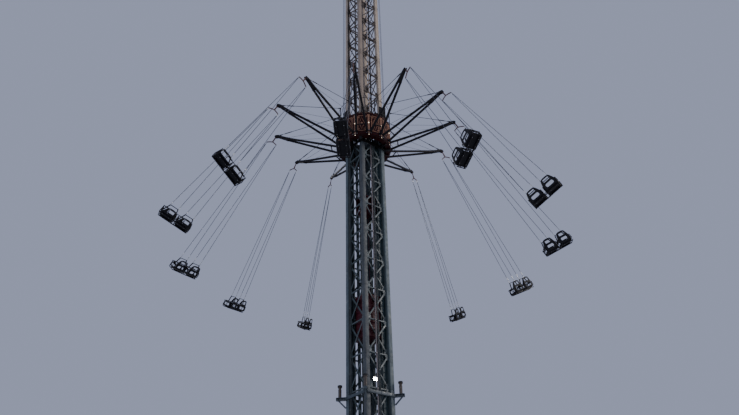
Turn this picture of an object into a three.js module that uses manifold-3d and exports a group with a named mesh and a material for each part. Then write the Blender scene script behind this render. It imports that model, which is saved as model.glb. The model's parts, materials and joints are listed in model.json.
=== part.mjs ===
// A tower chair swing ride: a lattice tower, a carriage that climbs it, a turning drum with
// twelve arms, and a double seat hung from the end of each arm on four ropes.
// Millimetres, +Z up, the origin at the middle of the base's underside.
import * as THREE from 'three';
import { mergeVertices } from 'three/addons/utils/BufferGeometryUtils.js';
import Module from 'manifold-3d';

const wasm = await Module();
wasm.setup();

// Small gap between meshes that touch
const SEAT_GAP = 0.3;

// Tower
const TOWER_HALF = 600;
const LEG = 190;
const PANEL_HEIGHT = 1435;
const PANEL_COUNT = 27;
const BASE_TOP = 350;
const LEG_LENGTH = PANEL_HEIGHT * PANEL_COUNT;
const TOWER_TOP = BASE_TOP + LEG_LENGTH;
const BRACE = 68;
const LATTICE_THICKNESS = 60;
const LATTICE_EDGE = 20;
const FACE_RAIL = 55;
const SIDE_RAIL_SHIFT = -420;
const WEB_PANELS = 15;
const WEB_PLATE = 8;
// Sheet webs that nearly close two sides of the lower tower, each from and to across its side
const WEBS = {
  back: [[-495, -50], [50, 160], [340, 495]],
  right: [[-495, 230], [400, 495]],
};
const LEG_FACE = TOWER_HALF + LEG / 2;

// Base, below the picture
const BEAM_REACH = 2900;
const BEAM = 300;
const BEAM_SINK = 20;
const SLAB_HALF = 950;
const FOOT_PLATE = 50;
const FOOT_RADIUS = 330;
const FOOT_SIDES = 8;
const STRUT_HEIGHT = 3400;
const STRUT_WIDTH = 150;
const STRUT_DEPTH = 120;

// Head, above the picture
const HEAD_HALF = 705;
const HEAD_BEAM = 260;
const HEAD_DEPTH = 180;
const SHEAVE_RADIUS = 250;
const SHEAVE_SIDES = 12;
const SHEAVE_WIDTH = 110;
const SHEAVE_LIFT = 470;
const SHEAVE_CHEEK = 30;
const AXLE_RADIUS = 40;
const GIRDER_WIDTH = 40;
const GIRDER_HEIGHT = 200;
const ROPE_OUTER = 1105;
const ROPE_INNER = 1055;
const ROPE_RADIUS = 12;
const ROPE_BAND = 90;
const WEIGHT_ROPE = 60;

// Carriage
const SLEEVE_INNER = 725;
const SLEEVE_OUTER = 785;
const SLEEVE_BOTTOM = 21035;
const SLEEVE_TOP = 22700;
const SLEEVE_FLANGE = 60;
const SLEEVE_POST = 190;
const ANCHOR_INNER = 430;
const ANCHOR_OUTER = 800;
const ANCHOR_BOTTOM = 23350;
const ANCHOR_TOP = 23850;
const PAD_RADIUS = 1230;
const PAD_START = 1000;
const PAD_SIDE = 150;
const PAD_DEPTH = 90;
const SLEW_INNER = 1090;
const SLEW_OUTER = 1330;
const SLEW_DEPTH = 70;

// Drum and the stays' ring
const DRUM_RADIUS = 1350;
const DRUM_INNER = 1240;
const DRUM_BOTTOM = 21200;
const DRUM_TOP = 22600;
const DRUM_WALL = 60;
const DRUM_LIP = 25;
const DRUM_FLOOR = 90;
const DRUM_SIDES = 36;
const STAY_RING_RADIUS = 1325;
const STAY_RING_TOP = 23620;
const HOOP = 24;
const POST = 44;

// Arms
const ARM_COUNT = 12;
const FIRST_ARM_ANGLE = 18.1;
const ARM_REACH = 4650;
const PIVOT_HEIGHT = 22600;
const ARM_ROOT_HEIGHT = 21380;
const ARM_ROOT_HALF = 280;
const ARM_TUBE = 114;
const ARM_NOSE = 620;
const NOSE_ROOT_HALF = 122;
const NOSE_TIP_HALF = 56;
const NOSE_DEPTH = 112;
const FORK_LENGTH = 110;
const TIE_AT = 0.14;
const TIE_RADIUS = 32;
const STAY_RADIUS = 16;
const PIN_RADIUS = 18;
const PIN_SIDES = 8;
const PIN_GAP = 0.4;
const EYE_RADIUS = 48;
const CHEEK_INSIDE = 37;
const CHEEK = 16;
const CHEEK_HALF_HEIGHT = 60;

// A swing, hung from its pivot, in its own upright frame
const FLIGHT_ANGLE = 27;
const HANGER = 380;
const HANGER_HALF = 24;
const HANGER_DEPTH = 40;
const SPREADER_HALF = 290;
const SPREADER_DROP = 110;
const SWING_ROPE = 10;
const SEAT_HALF_PITCH = 360;
const FRAME_TOP_HALF = 185;
const FRAME_TOP = -8020;
const PAN_TOP = -8600;
const PAN = 40;
const CROSS_TUBE = 30;
const BUCKET_WIDTH = 600;
const BUCKET_DEPTH = 470;
const SHELL = 30;
const SIDE_HEIGHT = 250;
const BACK_HEIGHT = 560;
const BACK_TAPER = 85;
const LOWER_HOLE = { half: 185, low: 55, high: 265, corner: 65 };
const UPPER_HOLE = { half: 148, low: 335, high: 505, corner: 30 };
const SIDE_HOLE_EDGE = 60;
const FRAME_SIDE_BAR = 44;
const FRAME_TOP_BAR = 24;
const FRAME_DEPTH = 40;
const LAP_BAR = 20;
const LAP_BAR_OVERHANG = 25;

// Buffers at the foot of the lift's travel
const BUFFER_RADIUS = 1230;
const BUFFER_TOP = 9300;
const BUFFER_POST = 60;
const BUFFER_CAP = 85;
const BUFFER_CAP_DEPTH = 90;
const BRACKET_TOP = 8800;
const BRACKET_DEPTH = 120;
const BRACKET_WIDTH = 140;
const BRACKET_OVERHANG = 150;
const COLLAR = 55;
const GUSSET = 60;

// Floodlight on the front lattice
const LAMP_LOW = [-350, 9180];
const LAMP_HIGH = [-150, 9330];
const LAMP_DEPTH = 56;
const LAMP_STANDOFF = 4;
const LAMP_ARM = 36;
const LAMP_ARM_TOP = 9430;

// Counterweight
const WEIGHT_BOTTOM = 11100;
const WEIGHT_TOP = 13000;
const WEIGHT_SIDE = 980;
const WEIGHT_WALL = 125;
const WEIGHT_LID = 80;
const SHOE_CLEARANCE = 6;
const SHOE_HALF = 70;
const SHOE_HALF_HEIGHT = 90;
const SHOE_INSET = 250;
const HITCH_BOTTOM = 17400;
const HITCH_TOP = 18200;
const HITCH_SIDE = 700;
const LINK_SPREAD = 120;
const LINK_RADIUS = 18;

const CORNERS = [['front_left', -1, -1], ['front_right', 1, -1], ['back_right', 1, 1], ['back_left', -1, 1]];
const DEGREE = Math.PI / 180;

function finish(color, roughness, metalness) {
  return new THREE.MeshStandardMaterial({ color, roughness, metalness });
}

const towerPaint = finish(0x5b6f78, 0.5, 0.2);
const bracePaint = finish(0x8c9997, 0.5, 0.2);
const railPaint = finish(0xb09a92, 0.55, 0.2);
const armPaint = finish(0x262433, 0.4, 0.3);
const drumPaint = finish(0x6b1f22, 0.35, 0.1);
const weightPaint = finish(0x7a1c28, 0.45, 0.1);
const ropeSteel = finish(0x6d7077, 0.4, 0.8);
const seatShell = finish(0x17171f, 0.45, 0.0);
const bufferPaint = finish(0x3c332e, 0.6, 0.2);
const lampGlass = finish(0xfff1cf, 0.2, 0.0);

// Turns a closed three.js geometry into a solid that can be joined and cut
function toSolid(geometry) {
  const bare = geometry.index ? geometry.clone() : geometry;
  bare.deleteAttribute('normal');
  bare.deleteAttribute('uv');
  const merged = mergeVertices(bare, 1e-3);
  const mesh = new wasm.Mesh({
    numProp: 3,
    vertProperties: Float32Array.from(merged.attributes.position.array),
    triVerts: Uint32Array.from(merged.index.array),
  });
  return new wasm.Manifold(mesh);
}

// Turns a solid back into a three.js geometry
function toGeometry(solid) {
  const mesh = solid.asOriginal().simplify(0.01).getMesh();
  const geometry = new THREE.BufferGeometry();
  const positions = new Float32Array(mesh.numVert * 3);
  for (let i = 0; i < mesh.numVert; i += 1) {
    for (let axis = 0; axis < 3; axis += 1) {
      positions[i * 3 + axis] = mesh.vertProperties[i * mesh.numProp + axis];
    }
  }
  geometry.setAttribute('position', new THREE.BufferAttribute(positions, 3));
  geometry.setIndex(new THREE.BufferAttribute(Uint32Array.from(mesh.triVerts), 1));
  return geometry;
}

const join = (pieces) => pieces.map(toSolid).reduce((whole, piece) => whole.add(piece));

// A block given by its lowest and highest corners
function block(low, high) {
  const size = high.map((value, axis) => value - low[axis]);
  const middle = high.map((value, axis) => (value + low[axis]) / 2);
  return new THREE.BoxGeometry(...size).translate(...middle);
}

// Stands a shape that lies along +Z between two points, its own X as near to `side` as it can be
function aim(geometry, from, to, side) {
  const along = to.clone().sub(from).normalize();
  const depth = new THREE.Vector3().crossVectors(along, side).normalize();
  const across = new THREE.Vector3().crossVectors(depth, along);
  const basis = new THREE.Matrix4().makeBasis(across, depth, along);
  const middle = from.clone().add(to).multiplyScalar(0.5);
  return geometry.applyMatrix4(basis.setPosition(middle));
}

function bar(from, to, width, depth, side = new THREE.Vector3(0, 1, 0)) {
  return aim(new THREE.BoxGeometry(width, depth, from.distanceTo(to)), from, to, side);
}

function rod(from, to, radius, sides = 6, side = new THREE.Vector3(0, 1, 0)) {
  const geometry = new THREE.CylinderGeometry(radius, radius, from.distanceTo(to), sides);
  return aim(geometry.rotateX(Math.PI / 2), from, to, side);
}

// A ring or disc turned about Z from its closed outline of radius and height
function turned(outline, sides) {
  const points = outline.map(([radius, height]) => new THREE.Vector2(radius, height));
  points.push(points[0].clone());
  return new THREE.LatheGeometry(points, sides).rotateX(Math.PI / 2);
}

const at = (x, y, z) => new THREE.Vector3(x, y, z);

const ride = new THREE.Group();

function add(name, geometry, material, parent = ride) {
  const mesh = new THREE.Mesh(geometry, material);
  mesh.name = name;
  parent.add(mesh);
  return mesh;
}

// One flat side of the lattice: an X and a horizontal in every panel, cut through one plate,
// with thin sheets between the bars of the lower panels where the side has webs
function latticeSide(webs = []) {
  const halfWidth = TOWER_HALF - LEG / 2 - SEAT_GAP;
  const outline = new THREE.Shape([
    new THREE.Vector2(-halfWidth, 0),
    new THREE.Vector2(halfWidth, 0),
    new THREE.Vector2(halfWidth, LEG_LENGTH),
    new THREE.Vector2(-halfWidth, LEG_LENGTH),
  ]);
  const slant = Math.hypot(2 * halfWidth, PANEL_HEIGHT);
  const apexRise = (BRACE / 2) * slant / (2 * halfWidth);
  const apexReach = (BRACE / 2) * slant / PANEL_HEIGHT;
  const slope = PANEL_HEIGHT / (2 * halfWidth);
  const topEdge = PANEL_HEIGHT / 2 - BRACE / 2;
  const sideEdge = halfWidth - LATTICE_EDGE;
  const topHalf = (topEdge - apexRise) / slope;
  const sideHalf = (sideEdge - apexReach) * slope;
  for (let panel = 0; panel < PANEL_COUNT; panel += 1) {
    const middle = (panel + 0.5) * PANEL_HEIGHT;
    for (const sign of [-1, 1]) {
      outline.holes.push(new THREE.Path([
        new THREE.Vector2(0, middle + sign * apexRise),
        new THREE.Vector2(topHalf, middle + sign * topEdge),
        new THREE.Vector2(-topHalf, middle + sign * topEdge),
      ]));
      outline.holes.push(new THREE.Path([
        new THREE.Vector2(sign * apexReach, middle),
        new THREE.Vector2(sign * sideEdge, middle + sideHalf),
        new THREE.Vector2(sign * sideEdge, middle - sideHalf),
      ]));
    }
  }
  const plate = new THREE.ExtrudeGeometry(outline, { depth: LATTICE_THICKNESS, bevelEnabled: false });
  plate.rotateX(Math.PI / 2).translate(0, LATTICE_THICKNESS / 2, BASE_TOP + SEAT_GAP);
  const sheetTop = BASE_TOP + SEAT_GAP + WEB_PANELS * PANEL_HEIGHT;
  const sheets = webs.map(([from, to]) => block(
    [from, -WEB_PLATE / 2, BASE_TOP + BRACE / 4],
    [to, WEB_PLATE / 2, sheetTop],
  ));
  return sheets.length > 0 ? toGeometry(join([plate, ...sheets])) : plate;
}

function legBox(grow = 0) {
  const side = LEG + 2 * grow;
  const length = LEG_LENGTH + 2 * grow;
  return new THREE.BoxGeometry(side, side, length).translate(0, 0, BASE_TOP + SEAT_GAP + LEG_LENGTH / 2);
}

function addTower() {
  for (const [corner, x, y] of CORNERS) {
    const leg = add(`leg_${corner}`, legBox(), towerPaint);
    leg.position.set(x * TOWER_HALF, y * TOWER_HALF, 0);
  }
  ['front', 'right', 'back', 'left'].forEach((face, turn) => {
    const faceGroup = new THREE.Group();
    faceGroup.rotation.z = turn * Math.PI / 2;
    ride.add(faceGroup);
    const side = add(`lattice_${face}`, latticeSide(WEBS[face]), bracePaint, faceGroup);
    side.position.set(0, -TOWER_HALF, 0);
    const outside = -TOWER_HALF - LATTICE_THICKNESS / 2 - SEAT_GAP;
    const middle = face === 'left' || face === 'right' ? SIDE_RAIL_SHIFT : 0;
    const rail = block(
      [middle - FACE_RAIL / 2, outside - FACE_RAIL, BASE_TOP + SEAT_GAP],
      [middle + FACE_RAIL / 2, outside, TOWER_TOP],
    );
    add(`face_rail_${face}`, rail, railPaint, faceGroup);
  });
}

// Two crossed beams on foot plates, with a raking strut up to each leg
function addBase() {
  const pieces = [block([-SLAB_HALF, -SLAB_HALF, 0], [SLAB_HALF, SLAB_HALF, FOOT_PLATE])];
  const legs = [];
  const beamBottom = FOOT_PLATE - BEAM_SINK;
  const beamHeight = (beamBottom + BASE_TOP) / 2;
  for (const [, x, y] of CORNERS) {
    const out = at(x, y, 0).normalize();
    const side = at(-out.y, out.x, 0);
    const end = out.clone().multiplyScalar(BEAM_REACH);
    pieces.push(bar(at(0, 0, beamHeight), end.clone().setZ(beamHeight), BEAM, BASE_TOP - beamBottom, side));
    const foot = new THREE.CylinderGeometry(FOOT_RADIUS, FOOT_RADIUS, FOOT_PLATE, FOOT_SIDES);
    const footMiddle = out.clone().multiplyScalar(BEAM_REACH - BEAM / 2);
    pieces.push(foot.rotateX(Math.PI / 2).translate(footMiddle.x, footMiddle.y, FOOT_PLATE / 2));
    const legMiddle = out.clone().multiplyScalar(TOWER_HALF * Math.SQRT2);
    const low = out.clone().multiplyScalar(BEAM_REACH - BEAM).setZ(BASE_TOP - STRUT_DEPTH / 2);
    pieces.push(bar(low, legMiddle.clone().setZ(STRUT_HEIGHT), STRUT_WIDTH, STRUT_DEPTH, side));
    legs.push(toSolid(legBox(SEAT_GAP).translate(x * TOWER_HALF, y * TOWER_HALF, 0)));
  }
  const inner = toSolid(block([-LEG_FACE, -LEG_FACE, BASE_TOP + SEAT_GAP], [LEG_FACE, LEG_FACE, TOWER_TOP]));
  const cut = legs.reduce((whole, leg) => whole.subtract(leg), join(pieces));
  add('base_frame', toGeometry(cut.subtract(inner)), towerPaint);
}

// The frame on top of the legs, with the sheaves that the hoist ropes pass over
function addHead() {
  const bottom = TOWER_TOP + 2 * SEAT_GAP;
  const top = bottom + HEAD_DEPTH;
  const inner = HEAD_HALF - HEAD_BEAM;
  const pieces = [];
  for (const sign of [-1, 1]) {
    const [nearX, farX] = sign < 0 ? [-HEAD_HALF, -inner] : [inner, HEAD_HALF];
    pieces.push(block([nearX, -HEAD_HALF, bottom], [farX, HEAD_HALF, top]));
    pieces.push(block([-HEAD_HALF, nearX, bottom], [HEAD_HALF, farX, top]));
  }
  const out = at(1, -1, 0).normalize();
  const side = at(out.y, -out.x, 0);
  const axleHeight = bottom + SHEAVE_LIFT;
  const reach = ROPE_INNER - ROPE_RADIUS;
  const outerSheave = reach - SHEAVE_RADIUS - SEAT_GAP;
  const innerSheave = SHEAVE_RADIUS + WEIGHT_ROPE;
  const girderHeight = top + GIRDER_HEIGHT / 2 - AXLE_RADIUS;
  for (const sign of [-1, 1]) {
    const offset = side.clone().multiplyScalar(sign * (SHEAVE_WIDTH + GIRDER_WIDTH + SHEAVE_CHEEK) / 2);
    const from = out.clone().multiplyScalar(-reach).add(offset).setZ(girderHeight);
    const to = out.clone().multiplyScalar(reach).add(offset).setZ(girderHeight);
    pieces.push(bar(from, to, GIRDER_WIDTH, GIRDER_HEIGHT, side));
    for (const place of [-outerSheave, -innerSheave, innerSheave, outerSheave]) {
      const foot = out.clone().multiplyScalar(place).add(offset);
      const low = foot.clone().setZ(girderHeight);
      const high = foot.clone().setZ(axleHeight + AXLE_RADIUS);
      pieces.push(bar(low, high, SHEAVE_CHEEK, 3 * AXLE_RADIUS, side));
    }
  }
  for (const place of [-outerSheave, -innerSheave, innerSheave, outerSheave]) {
    const hub = out.clone().multiplyScalar(place).setZ(axleHeight);
    const half = side.clone().multiplyScalar(SHEAVE_WIDTH / 2);
    const axle = side.clone().multiplyScalar(SHEAVE_WIDTH / 2 + SHEAVE_CHEEK);
    pieces.push(rod(hub.clone().sub(half), hub.clone().add(half), SHEAVE_RADIUS, SHEAVE_SIDES, out));
    pieces.push(rod(hub.clone().sub(axle), hub.clone().add(axle), AXLE_RADIUS, 4, out));
  }
  add('head_frame', toGeometry(join(pieces)), towerPaint);
  return axleHeight + SHEAVE_RADIUS + SEAT_GAP + ROPE_RADIUS;
}

// Ropes from the carriage's two opposite corners up to the head and across its sheaves
function addHoistRopes(crossHeight) {
  const out = at(1, -1, 0).normalize();
  const side = at(out.y, -out.x, 0);
  const bottom = ANCHOR_TOP + SEAT_GAP;
  const pieces = [];
  for (const sign of [-1, 1]) {
    for (const reach of [ROPE_INNER, ROPE_OUTER]) {
      const foot = out.clone().multiplyScalar(sign * reach);
      pieces.push(rod(foot.clone().setZ(bottom), foot.clone().setZ(crossHeight), ROPE_RADIUS, 6, side));
    }
  }
  const end = out.clone().multiplyScalar(ROPE_OUTER + ROPE_RADIUS);
  const start = end.clone().negate().setZ(crossHeight);
  pieces.push(bar(start, end.setZ(crossHeight), ROPE_BAND, 2 * ROPE_RADIUS, side));
  add('hoist_ropes', toGeometry(join(pieces)), ropeSteel);
  const half = WEIGHT_ROPE / 2;
  const strandTop = crossHeight - ROPE_RADIUS - SEAT_GAP;
  const strand = block([-half, -half, HITCH_TOP + SEAT_GAP], [half, half, strandTop]);
  add('counterweight_rope', strand, ropeSteel);
}

// A square weight inside the tower, open below, with guide shoes, and the hitch its ropes end in
function addCounterweight() {
  const half = WEIGHT_SIDE / 2;
  const inside = half - WEIGHT_WALL;
  const reach = TOWER_HALF - LATTICE_THICKNESS / 2 - SHOE_CLEARANCE;
  const walls = block([-half, -half, WEIGHT_BOTTOM], [half, half, WEIGHT_TOP]);
  const hollow = block(
    [-inside, -inside, WEIGHT_BOTTOM - WEIGHT_LID],
    [inside, inside, WEIGHT_TOP - WEIGHT_LID],
  );
  const pieces = [];
  for (const height of [WEIGHT_BOTTOM + SHOE_INSET, WEIGHT_TOP - SHOE_INSET]) {
    const low = height - SHOE_HALF_HEIGHT;
    const high = height + SHOE_HALF_HEIGHT;
    pieces.push(block([-reach, -SHOE_HALF, low], [reach, SHOE_HALF, high]));
    pieces.push(block([-SHOE_HALF, -reach, low], [SHOE_HALF, reach, high]));
  }
  const shell = toSolid(walls).subtract(toSolid(hollow));
  add('counterweight', toGeometry(shell.add(join(pieces))), weightPaint);
  const hitchHalf = HITCH_SIDE / 2;
  const hitch = [block([-hitchHalf, -hitchHalf, HITCH_BOTTOM], [hitchHalf, hitchHalf, HITCH_TOP])];
  for (const sign of [-1, 1]) {
    const foot = at(sign * LINK_SPREAD, 0, WEIGHT_TOP + SEAT_GAP);
    hitch.push(rod(foot, foot.clone().setZ(HITCH_BOTTOM + LINK_RADIUS), LINK_RADIUS));
  }
  add('rope_hitch', toGeometry(join(hitch)), weightPaint);
}

// Four corner brackets on one collar, each with an upright buffer post
function addBuffers() {
  const bottom = BRACKET_TOP - BRACKET_DEPTH;
  const outer = LEG_FACE + COLLAR;
  const inner = LEG_FACE + SEAT_GAP;
  const hole = toSolid(block([-inner, -inner, 0], [inner, inner, BUFFER_TOP]));
  const pieces = [block([-outer, -outer, bottom], [outer, outer, BRACKET_TOP])];
  for (const [, x, y] of CORNERS) {
    const out = at(x, y, 0).normalize();
    const side = at(-out.y, out.x, 0);
    const on = (reach, height) => out.clone().multiplyScalar(reach).setZ(height);
    const middle = (BRACKET_TOP + bottom) / 2;
    const bracketStart = on(LEG_FACE * Math.SQRT2 - GUSSET, middle);
    const bracketEnd = on(BUFFER_RADIUS + BRACKET_OVERHANG, middle);
    pieces.push(bar(bracketStart, bracketEnd, BRACKET_WIDTH, BRACKET_DEPTH - 2, side));
    const gussetFoot = on(LEG_FACE * Math.SQRT2 - SEAT_GAP, bottom - 5 * GUSSET);
    const gussetHead = on(BUFFER_RADIUS + GUSSET, bottom + GUSSET / 3);
    pieces.push(bar(gussetFoot, gussetHead, GUSSET, GUSSET, side));
    const postTop = BUFFER_TOP - BUFFER_CAP_DEPTH;
    pieces.push(rod(on(BUFFER_RADIUS, middle), on(BUFFER_RADIUS, postTop + SHELL), BUFFER_POST, 6, side));
    pieces.push(rod(on(BUFFER_RADIUS, postTop), on(BUFFER_RADIUS, BUFFER_TOP), BUFFER_CAP, 6, side));
  }
  add('buffer_frame', toGeometry(join(pieces).subtract(hole)), bufferPaint);
}

// A lamp on a short arm that is bolted to a diagonal of the front lattice
function addFloodlight() {
  const lattice = -TOWER_HALF - LATTICE_THICKNESS / 2 - SEAT_GAP;
  const back = lattice - LAMP_STANDOFF;
  const [left, low] = LAMP_LOW;
  const [right, high] = LAMP_HIGH;
  const armMiddle = (left + right) / 2;
  const lamp = block([left, back - LAMP_DEPTH, low], [right, back, high]);
  const arm = block(
    [armMiddle - LAMP_ARM / 2, lattice - LAMP_ARM / 2, high - LAMP_ARM],
    [armMiddle + LAMP_ARM / 2, lattice, LAMP_ARM_TOP],
  );
  add('floodlight', toGeometry(join([lamp, arm])), lampGlass);
}

// A square sleeve round the tower, a turned seat for the drum, pads that land on the buffers,
// and two corner posts that run on up to the anchors of the hoist ropes
function addCarriage() {
  const pieces = [];
  const frame = (half, low, high) => block([-half, -half, low], [half, half, high]);
  pieces.push(frame(SLEEVE_OUTER + SLEEVE_FLANGE, SLEEVE_TOP - PAD_DEPTH, SLEEVE_TOP));
  pieces.push(frame(SLEEVE_OUTER, SLEEVE_BOTTOM, SLEEVE_BOTTOM + 2 * PAD_DEPTH));
  const corner = SLEEVE_OUTER - SLEEVE_POST / 2;
  const anchor = (ANCHOR_INNER + ANCHOR_OUTER) / 2;
  for (const [, x, y] of CORNERS) {
    const hasRopes = x !== y;
    const post = frame(SLEEVE_POST / 2, SLEEVE_BOTTOM, hasRopes ? ANCHOR_TOP : SLEEVE_TOP);
    pieces.push(post.translate(x * corner, y * corner, 0));
    if (hasRopes) {
      const shoulder = frame((ANCHOR_OUTER - ANCHOR_INNER) / 2, ANCHOR_BOTTOM, ANCHOR_TOP);
      pieces.push(shoulder.translate(x * anchor, y * anchor, 0));
    }
    const out = at(x, y, 0).normalize();
    const side = at(-out.y, out.x, 0);
    const padHeight = SLEEVE_BOTTOM + PAD_DEPTH / 2;
    const start = out.clone().multiplyScalar(PAD_START).setZ(padHeight);
    const end = out.clone().multiplyScalar(PAD_RADIUS + PAD_SIDE / 2).setZ(padHeight);
    pieces.push(bar(start, end, PAD_SIDE, PAD_DEPTH, side));
  }
  const seatTop = DRUM_BOTTOM - SEAT_GAP;
  pieces.push(turned([
    [SLEW_INNER, seatTop - SLEW_DEPTH],
    [SLEW_OUTER, seatTop - SLEW_DEPTH],
    [SLEW_OUTER, seatTop],
    [SLEW_INNER, seatTop],
  ], DRUM_SIDES));
  const opening = toSolid(frame(SLEEVE_INNER, 0, TOWER_TOP));
  add('carriage_frame', toGeometry(join(pieces).subtract(opening)), armPaint);
}

function addDrum(rotor) {
  const drum = turned([
    [DRUM_INNER, DRUM_BOTTOM],
    [DRUM_RADIUS, DRUM_BOTTOM],
    [DRUM_RADIUS, DRUM_TOP],
    [DRUM_INNER + DRUM_LIP, DRUM_TOP],
    [DRUM_INNER + DRUM_LIP, DRUM_TOP - DRUM_WALL],
    [DRUM_RADIUS - DRUM_WALL, DRUM_TOP - DRUM_WALL],
    [DRUM_RADIUS - DRUM_WALL, DRUM_BOTTOM + DRUM_FLOOR],
    [DRUM_INNER, DRUM_BOTTOM + DRUM_FLOOR],
  ], DRUM_SIDES);
  add('drum', drum, drumPaint, rotor);
}

// Twelve slim posts on the drum's top that the stays pull on, joined by a thin hoop
function addStayRing(rotor) {
  const halfTurn = 180 / ARM_COUNT * DEGREE;
  const outer = (STAY_RING_RADIUS + HOOP / 2) / Math.cos(halfTurn);
  const inner = (STAY_RING_RADIUS - HOOP / 2) / Math.cos(halfTurn);
  const hoopBottom = STAY_RING_TOP - HOOP;
  const hoop = turned([
    [inner, hoopBottom],
    [outer, hoopBottom],
    [outer, STAY_RING_TOP],
    [inner, STAY_RING_TOP],
  ], ARM_COUNT).rotateZ(halfTurn);
  const pieces = [hoop];
  for (let i = 0; i < ARM_COUNT; i += 1) {
    const post = block(
      [STAY_RING_RADIUS - POST / 2, -POST / 2, DRUM_TOP + SEAT_GAP],
      [STAY_RING_RADIUS + POST / 2, POST / 2, STAY_RING_TOP - HOOP / 4],
    );
    pieces.push(post.rotateZ(i * 2 * halfTurn));
  }
  add('stay_ring', toGeometry(join(pieces)), armPaint, rotor);
}

// The tapered box that an arm's two tubes run into
function noseGeometry(from, to) {
  const length = from.distanceTo(to);
  const plan = new THREE.Shape([
    new THREE.Vector2(-NOSE_ROOT_HALF, -length / 2),
    new THREE.Vector2(NOSE_ROOT_HALF, -length / 2),
    new THREE.Vector2(NOSE_TIP_HALF, length / 2),
    new THREE.Vector2(-NOSE_TIP_HALF, length / 2),
  ]);
  const box = new THREE.ExtrudeGeometry(plan, { depth: NOSE_DEPTH, bevelEnabled: false });
  box.translate(0, 0, -NOSE_DEPTH / 2).rotateX(Math.PI / 2);
  return aim(box, from, to, at(0, 1, 0));
}

// An arm: two tubes from the drum that meet in a nose, a cross tie, a fork with a pin, and the stay above
function armGeometry() {
  const rise = (PIVOT_HEIGHT - ARM_ROOT_HEIGHT) / (ARM_REACH - DRUM_RADIUS);
  const noseStart = ARM_REACH - ARM_NOSE;
  const noseHeight = ARM_ROOT_HEIGHT + rise * (noseStart - DRUM_RADIUS);
  const tubeEnd = noseStart + CHEEK_HALF_HEIGHT;
  const forkStart = ARM_REACH - FORK_LENGTH;
  const forkEnd = ARM_REACH + CHEEK_HALF_HEIGHT;
  const pieces = [];
  const ties = [];
  for (const sign of [-1, 1]) {
    const root = at(DRUM_RADIUS - DRUM_WALL, sign * ARM_ROOT_HALF, ARM_ROOT_HEIGHT);
    const end = at(tubeEnd, sign * (ARM_TUBE / 2 + 4), noseHeight + PIN_RADIUS);
    pieces.push(rod(root, end, ARM_TUBE / 2, 6));
    ties.push(root.lerp(end, TIE_AT));
    const inside = sign * CHEEK_INSIDE;
    const outside = sign * (CHEEK_INSIDE + CHEEK);
    pieces.push(block(
      [forkStart - CHEEK_HALF_HEIGHT, Math.min(inside, outside), PIVOT_HEIGHT - CHEEK_HALF_HEIGHT],
      [forkEnd, Math.max(inside, outside), PIVOT_HEIGHT + CHEEK_HALF_HEIGHT],
    ));
  }
  pieces.push(rod(ties[0], ties[1], TIE_RADIUS, 4, at(0, 0, 1)));
  pieces.push(noseGeometry(at(noseStart, 0, noseHeight), at(forkStart, 0, PIVOT_HEIGHT)));
  const pinHalf = CHEEK_INSIDE + CHEEK / 2;
  const pinStart = at(ARM_REACH, -pinHalf, PIVOT_HEIGHT);
  const pinEnd = at(ARM_REACH, pinHalf, PIVOT_HEIGHT);
  pieces.push(rod(pinStart, pinEnd, PIN_RADIUS, PIN_SIDES, at(1, 0, 0)));
  const stayFoot = at(forkStart - EYE_RADIUS, 0, PIVOT_HEIGHT + PIN_RADIUS);
  const stayHead = at(STAY_RING_RADIUS, 0, STAY_RING_TOP - POST / 2);
  pieces.push(rod(stayFoot, stayHead, STAY_RADIUS, 4));
  const drum = toSolid(turned([
    [0, 0],
    [DRUM_RADIUS + SEAT_GAP, 0],
    [DRUM_RADIUS + SEAT_GAP, DRUM_TOP + SEAT_GAP],
    [0, DRUM_TOP + SEAT_GAP],
  ], DRUM_SIDES));
  const postFace = STAY_RING_RADIUS + POST / 2 + SEAT_GAP;
  const postSpace = toSolid(block([0, -POST, DRUM_TOP], [postFace, POST, TOWER_TOP]));
  return toGeometry(join(pieces).subtract(drum).subtract(postSpace));
}

// A short rod on the pivot's axis, turned so that at rest its flats face the pin's edges
function pivotRod(radius, halfWidth) {
  const geometry = new THREE.CylinderGeometry(radius, radius, 2 * halfWidth, PIN_SIDES);
  return geometry.rotateY((180 / PIN_SIDES) * DEGREE).rotateY(FLIGHT_ANGLE * DEGREE);
}

// The hanger's eye, the bow-shaped spreader under it and four ropes, upright below the pivot
function suspensionGeometry() {
  const bowTop = HANGER - HANGER_HALF;
  const bowUnder = HANGER + HANGER_HALF;
  const bowEnd = HANGER + SPREADER_DROP;
  const half = HANGER_DEPTH / 2;
  const outline = new THREE.Shape([
    new THREE.Vector2(-HANGER_HALF, -HANGER_HALF),
    new THREE.Vector2(-HANGER_HALF, -bowTop),
    new THREE.Vector2(-SPREADER_HALF, -bowEnd + half),
    new THREE.Vector2(-SPREADER_HALF, -bowEnd - half),
    new THREE.Vector2(0, -bowUnder),
    new THREE.Vector2(SPREADER_HALF, -bowEnd - half),
    new THREE.Vector2(SPREADER_HALF, -bowEnd + half),
    new THREE.Vector2(HANGER_HALF, -bowTop),
    new THREE.Vector2(HANGER_HALF, -HANGER_HALF),
  ]);
  const hanger = new THREE.ExtrudeGeometry(outline, { depth: HANGER_DEPTH, bevelEnabled: false });
  const pieces = [pivotRod(EYE_RADIUS, CHEEK_INSIDE - 6), hanger.rotateX(Math.PI / 2).translate(0, half, 0)];
  for (const sign of [-1, 1]) {
    for (const across of [-1, 1]) {
      const top = at(sign * (SPREADER_HALF - half), 0, -bowEnd);
      const foot = at(sign * SEAT_HALF_PITCH + across * FRAME_TOP_HALF, 0, FRAME_TOP + 2.5 * SEAT_GAP);
      pieces.push(rod(top, foot, SWING_ROPE, 4));
    }
  }
  const bore = (PIN_RADIUS + PIN_GAP) / Math.cos(180 / PIN_SIDES * DEGREE);
  return toGeometry(join(pieces).subtract(toSolid(pivotRod(bore, CHEEK_INSIDE))));
}

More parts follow.
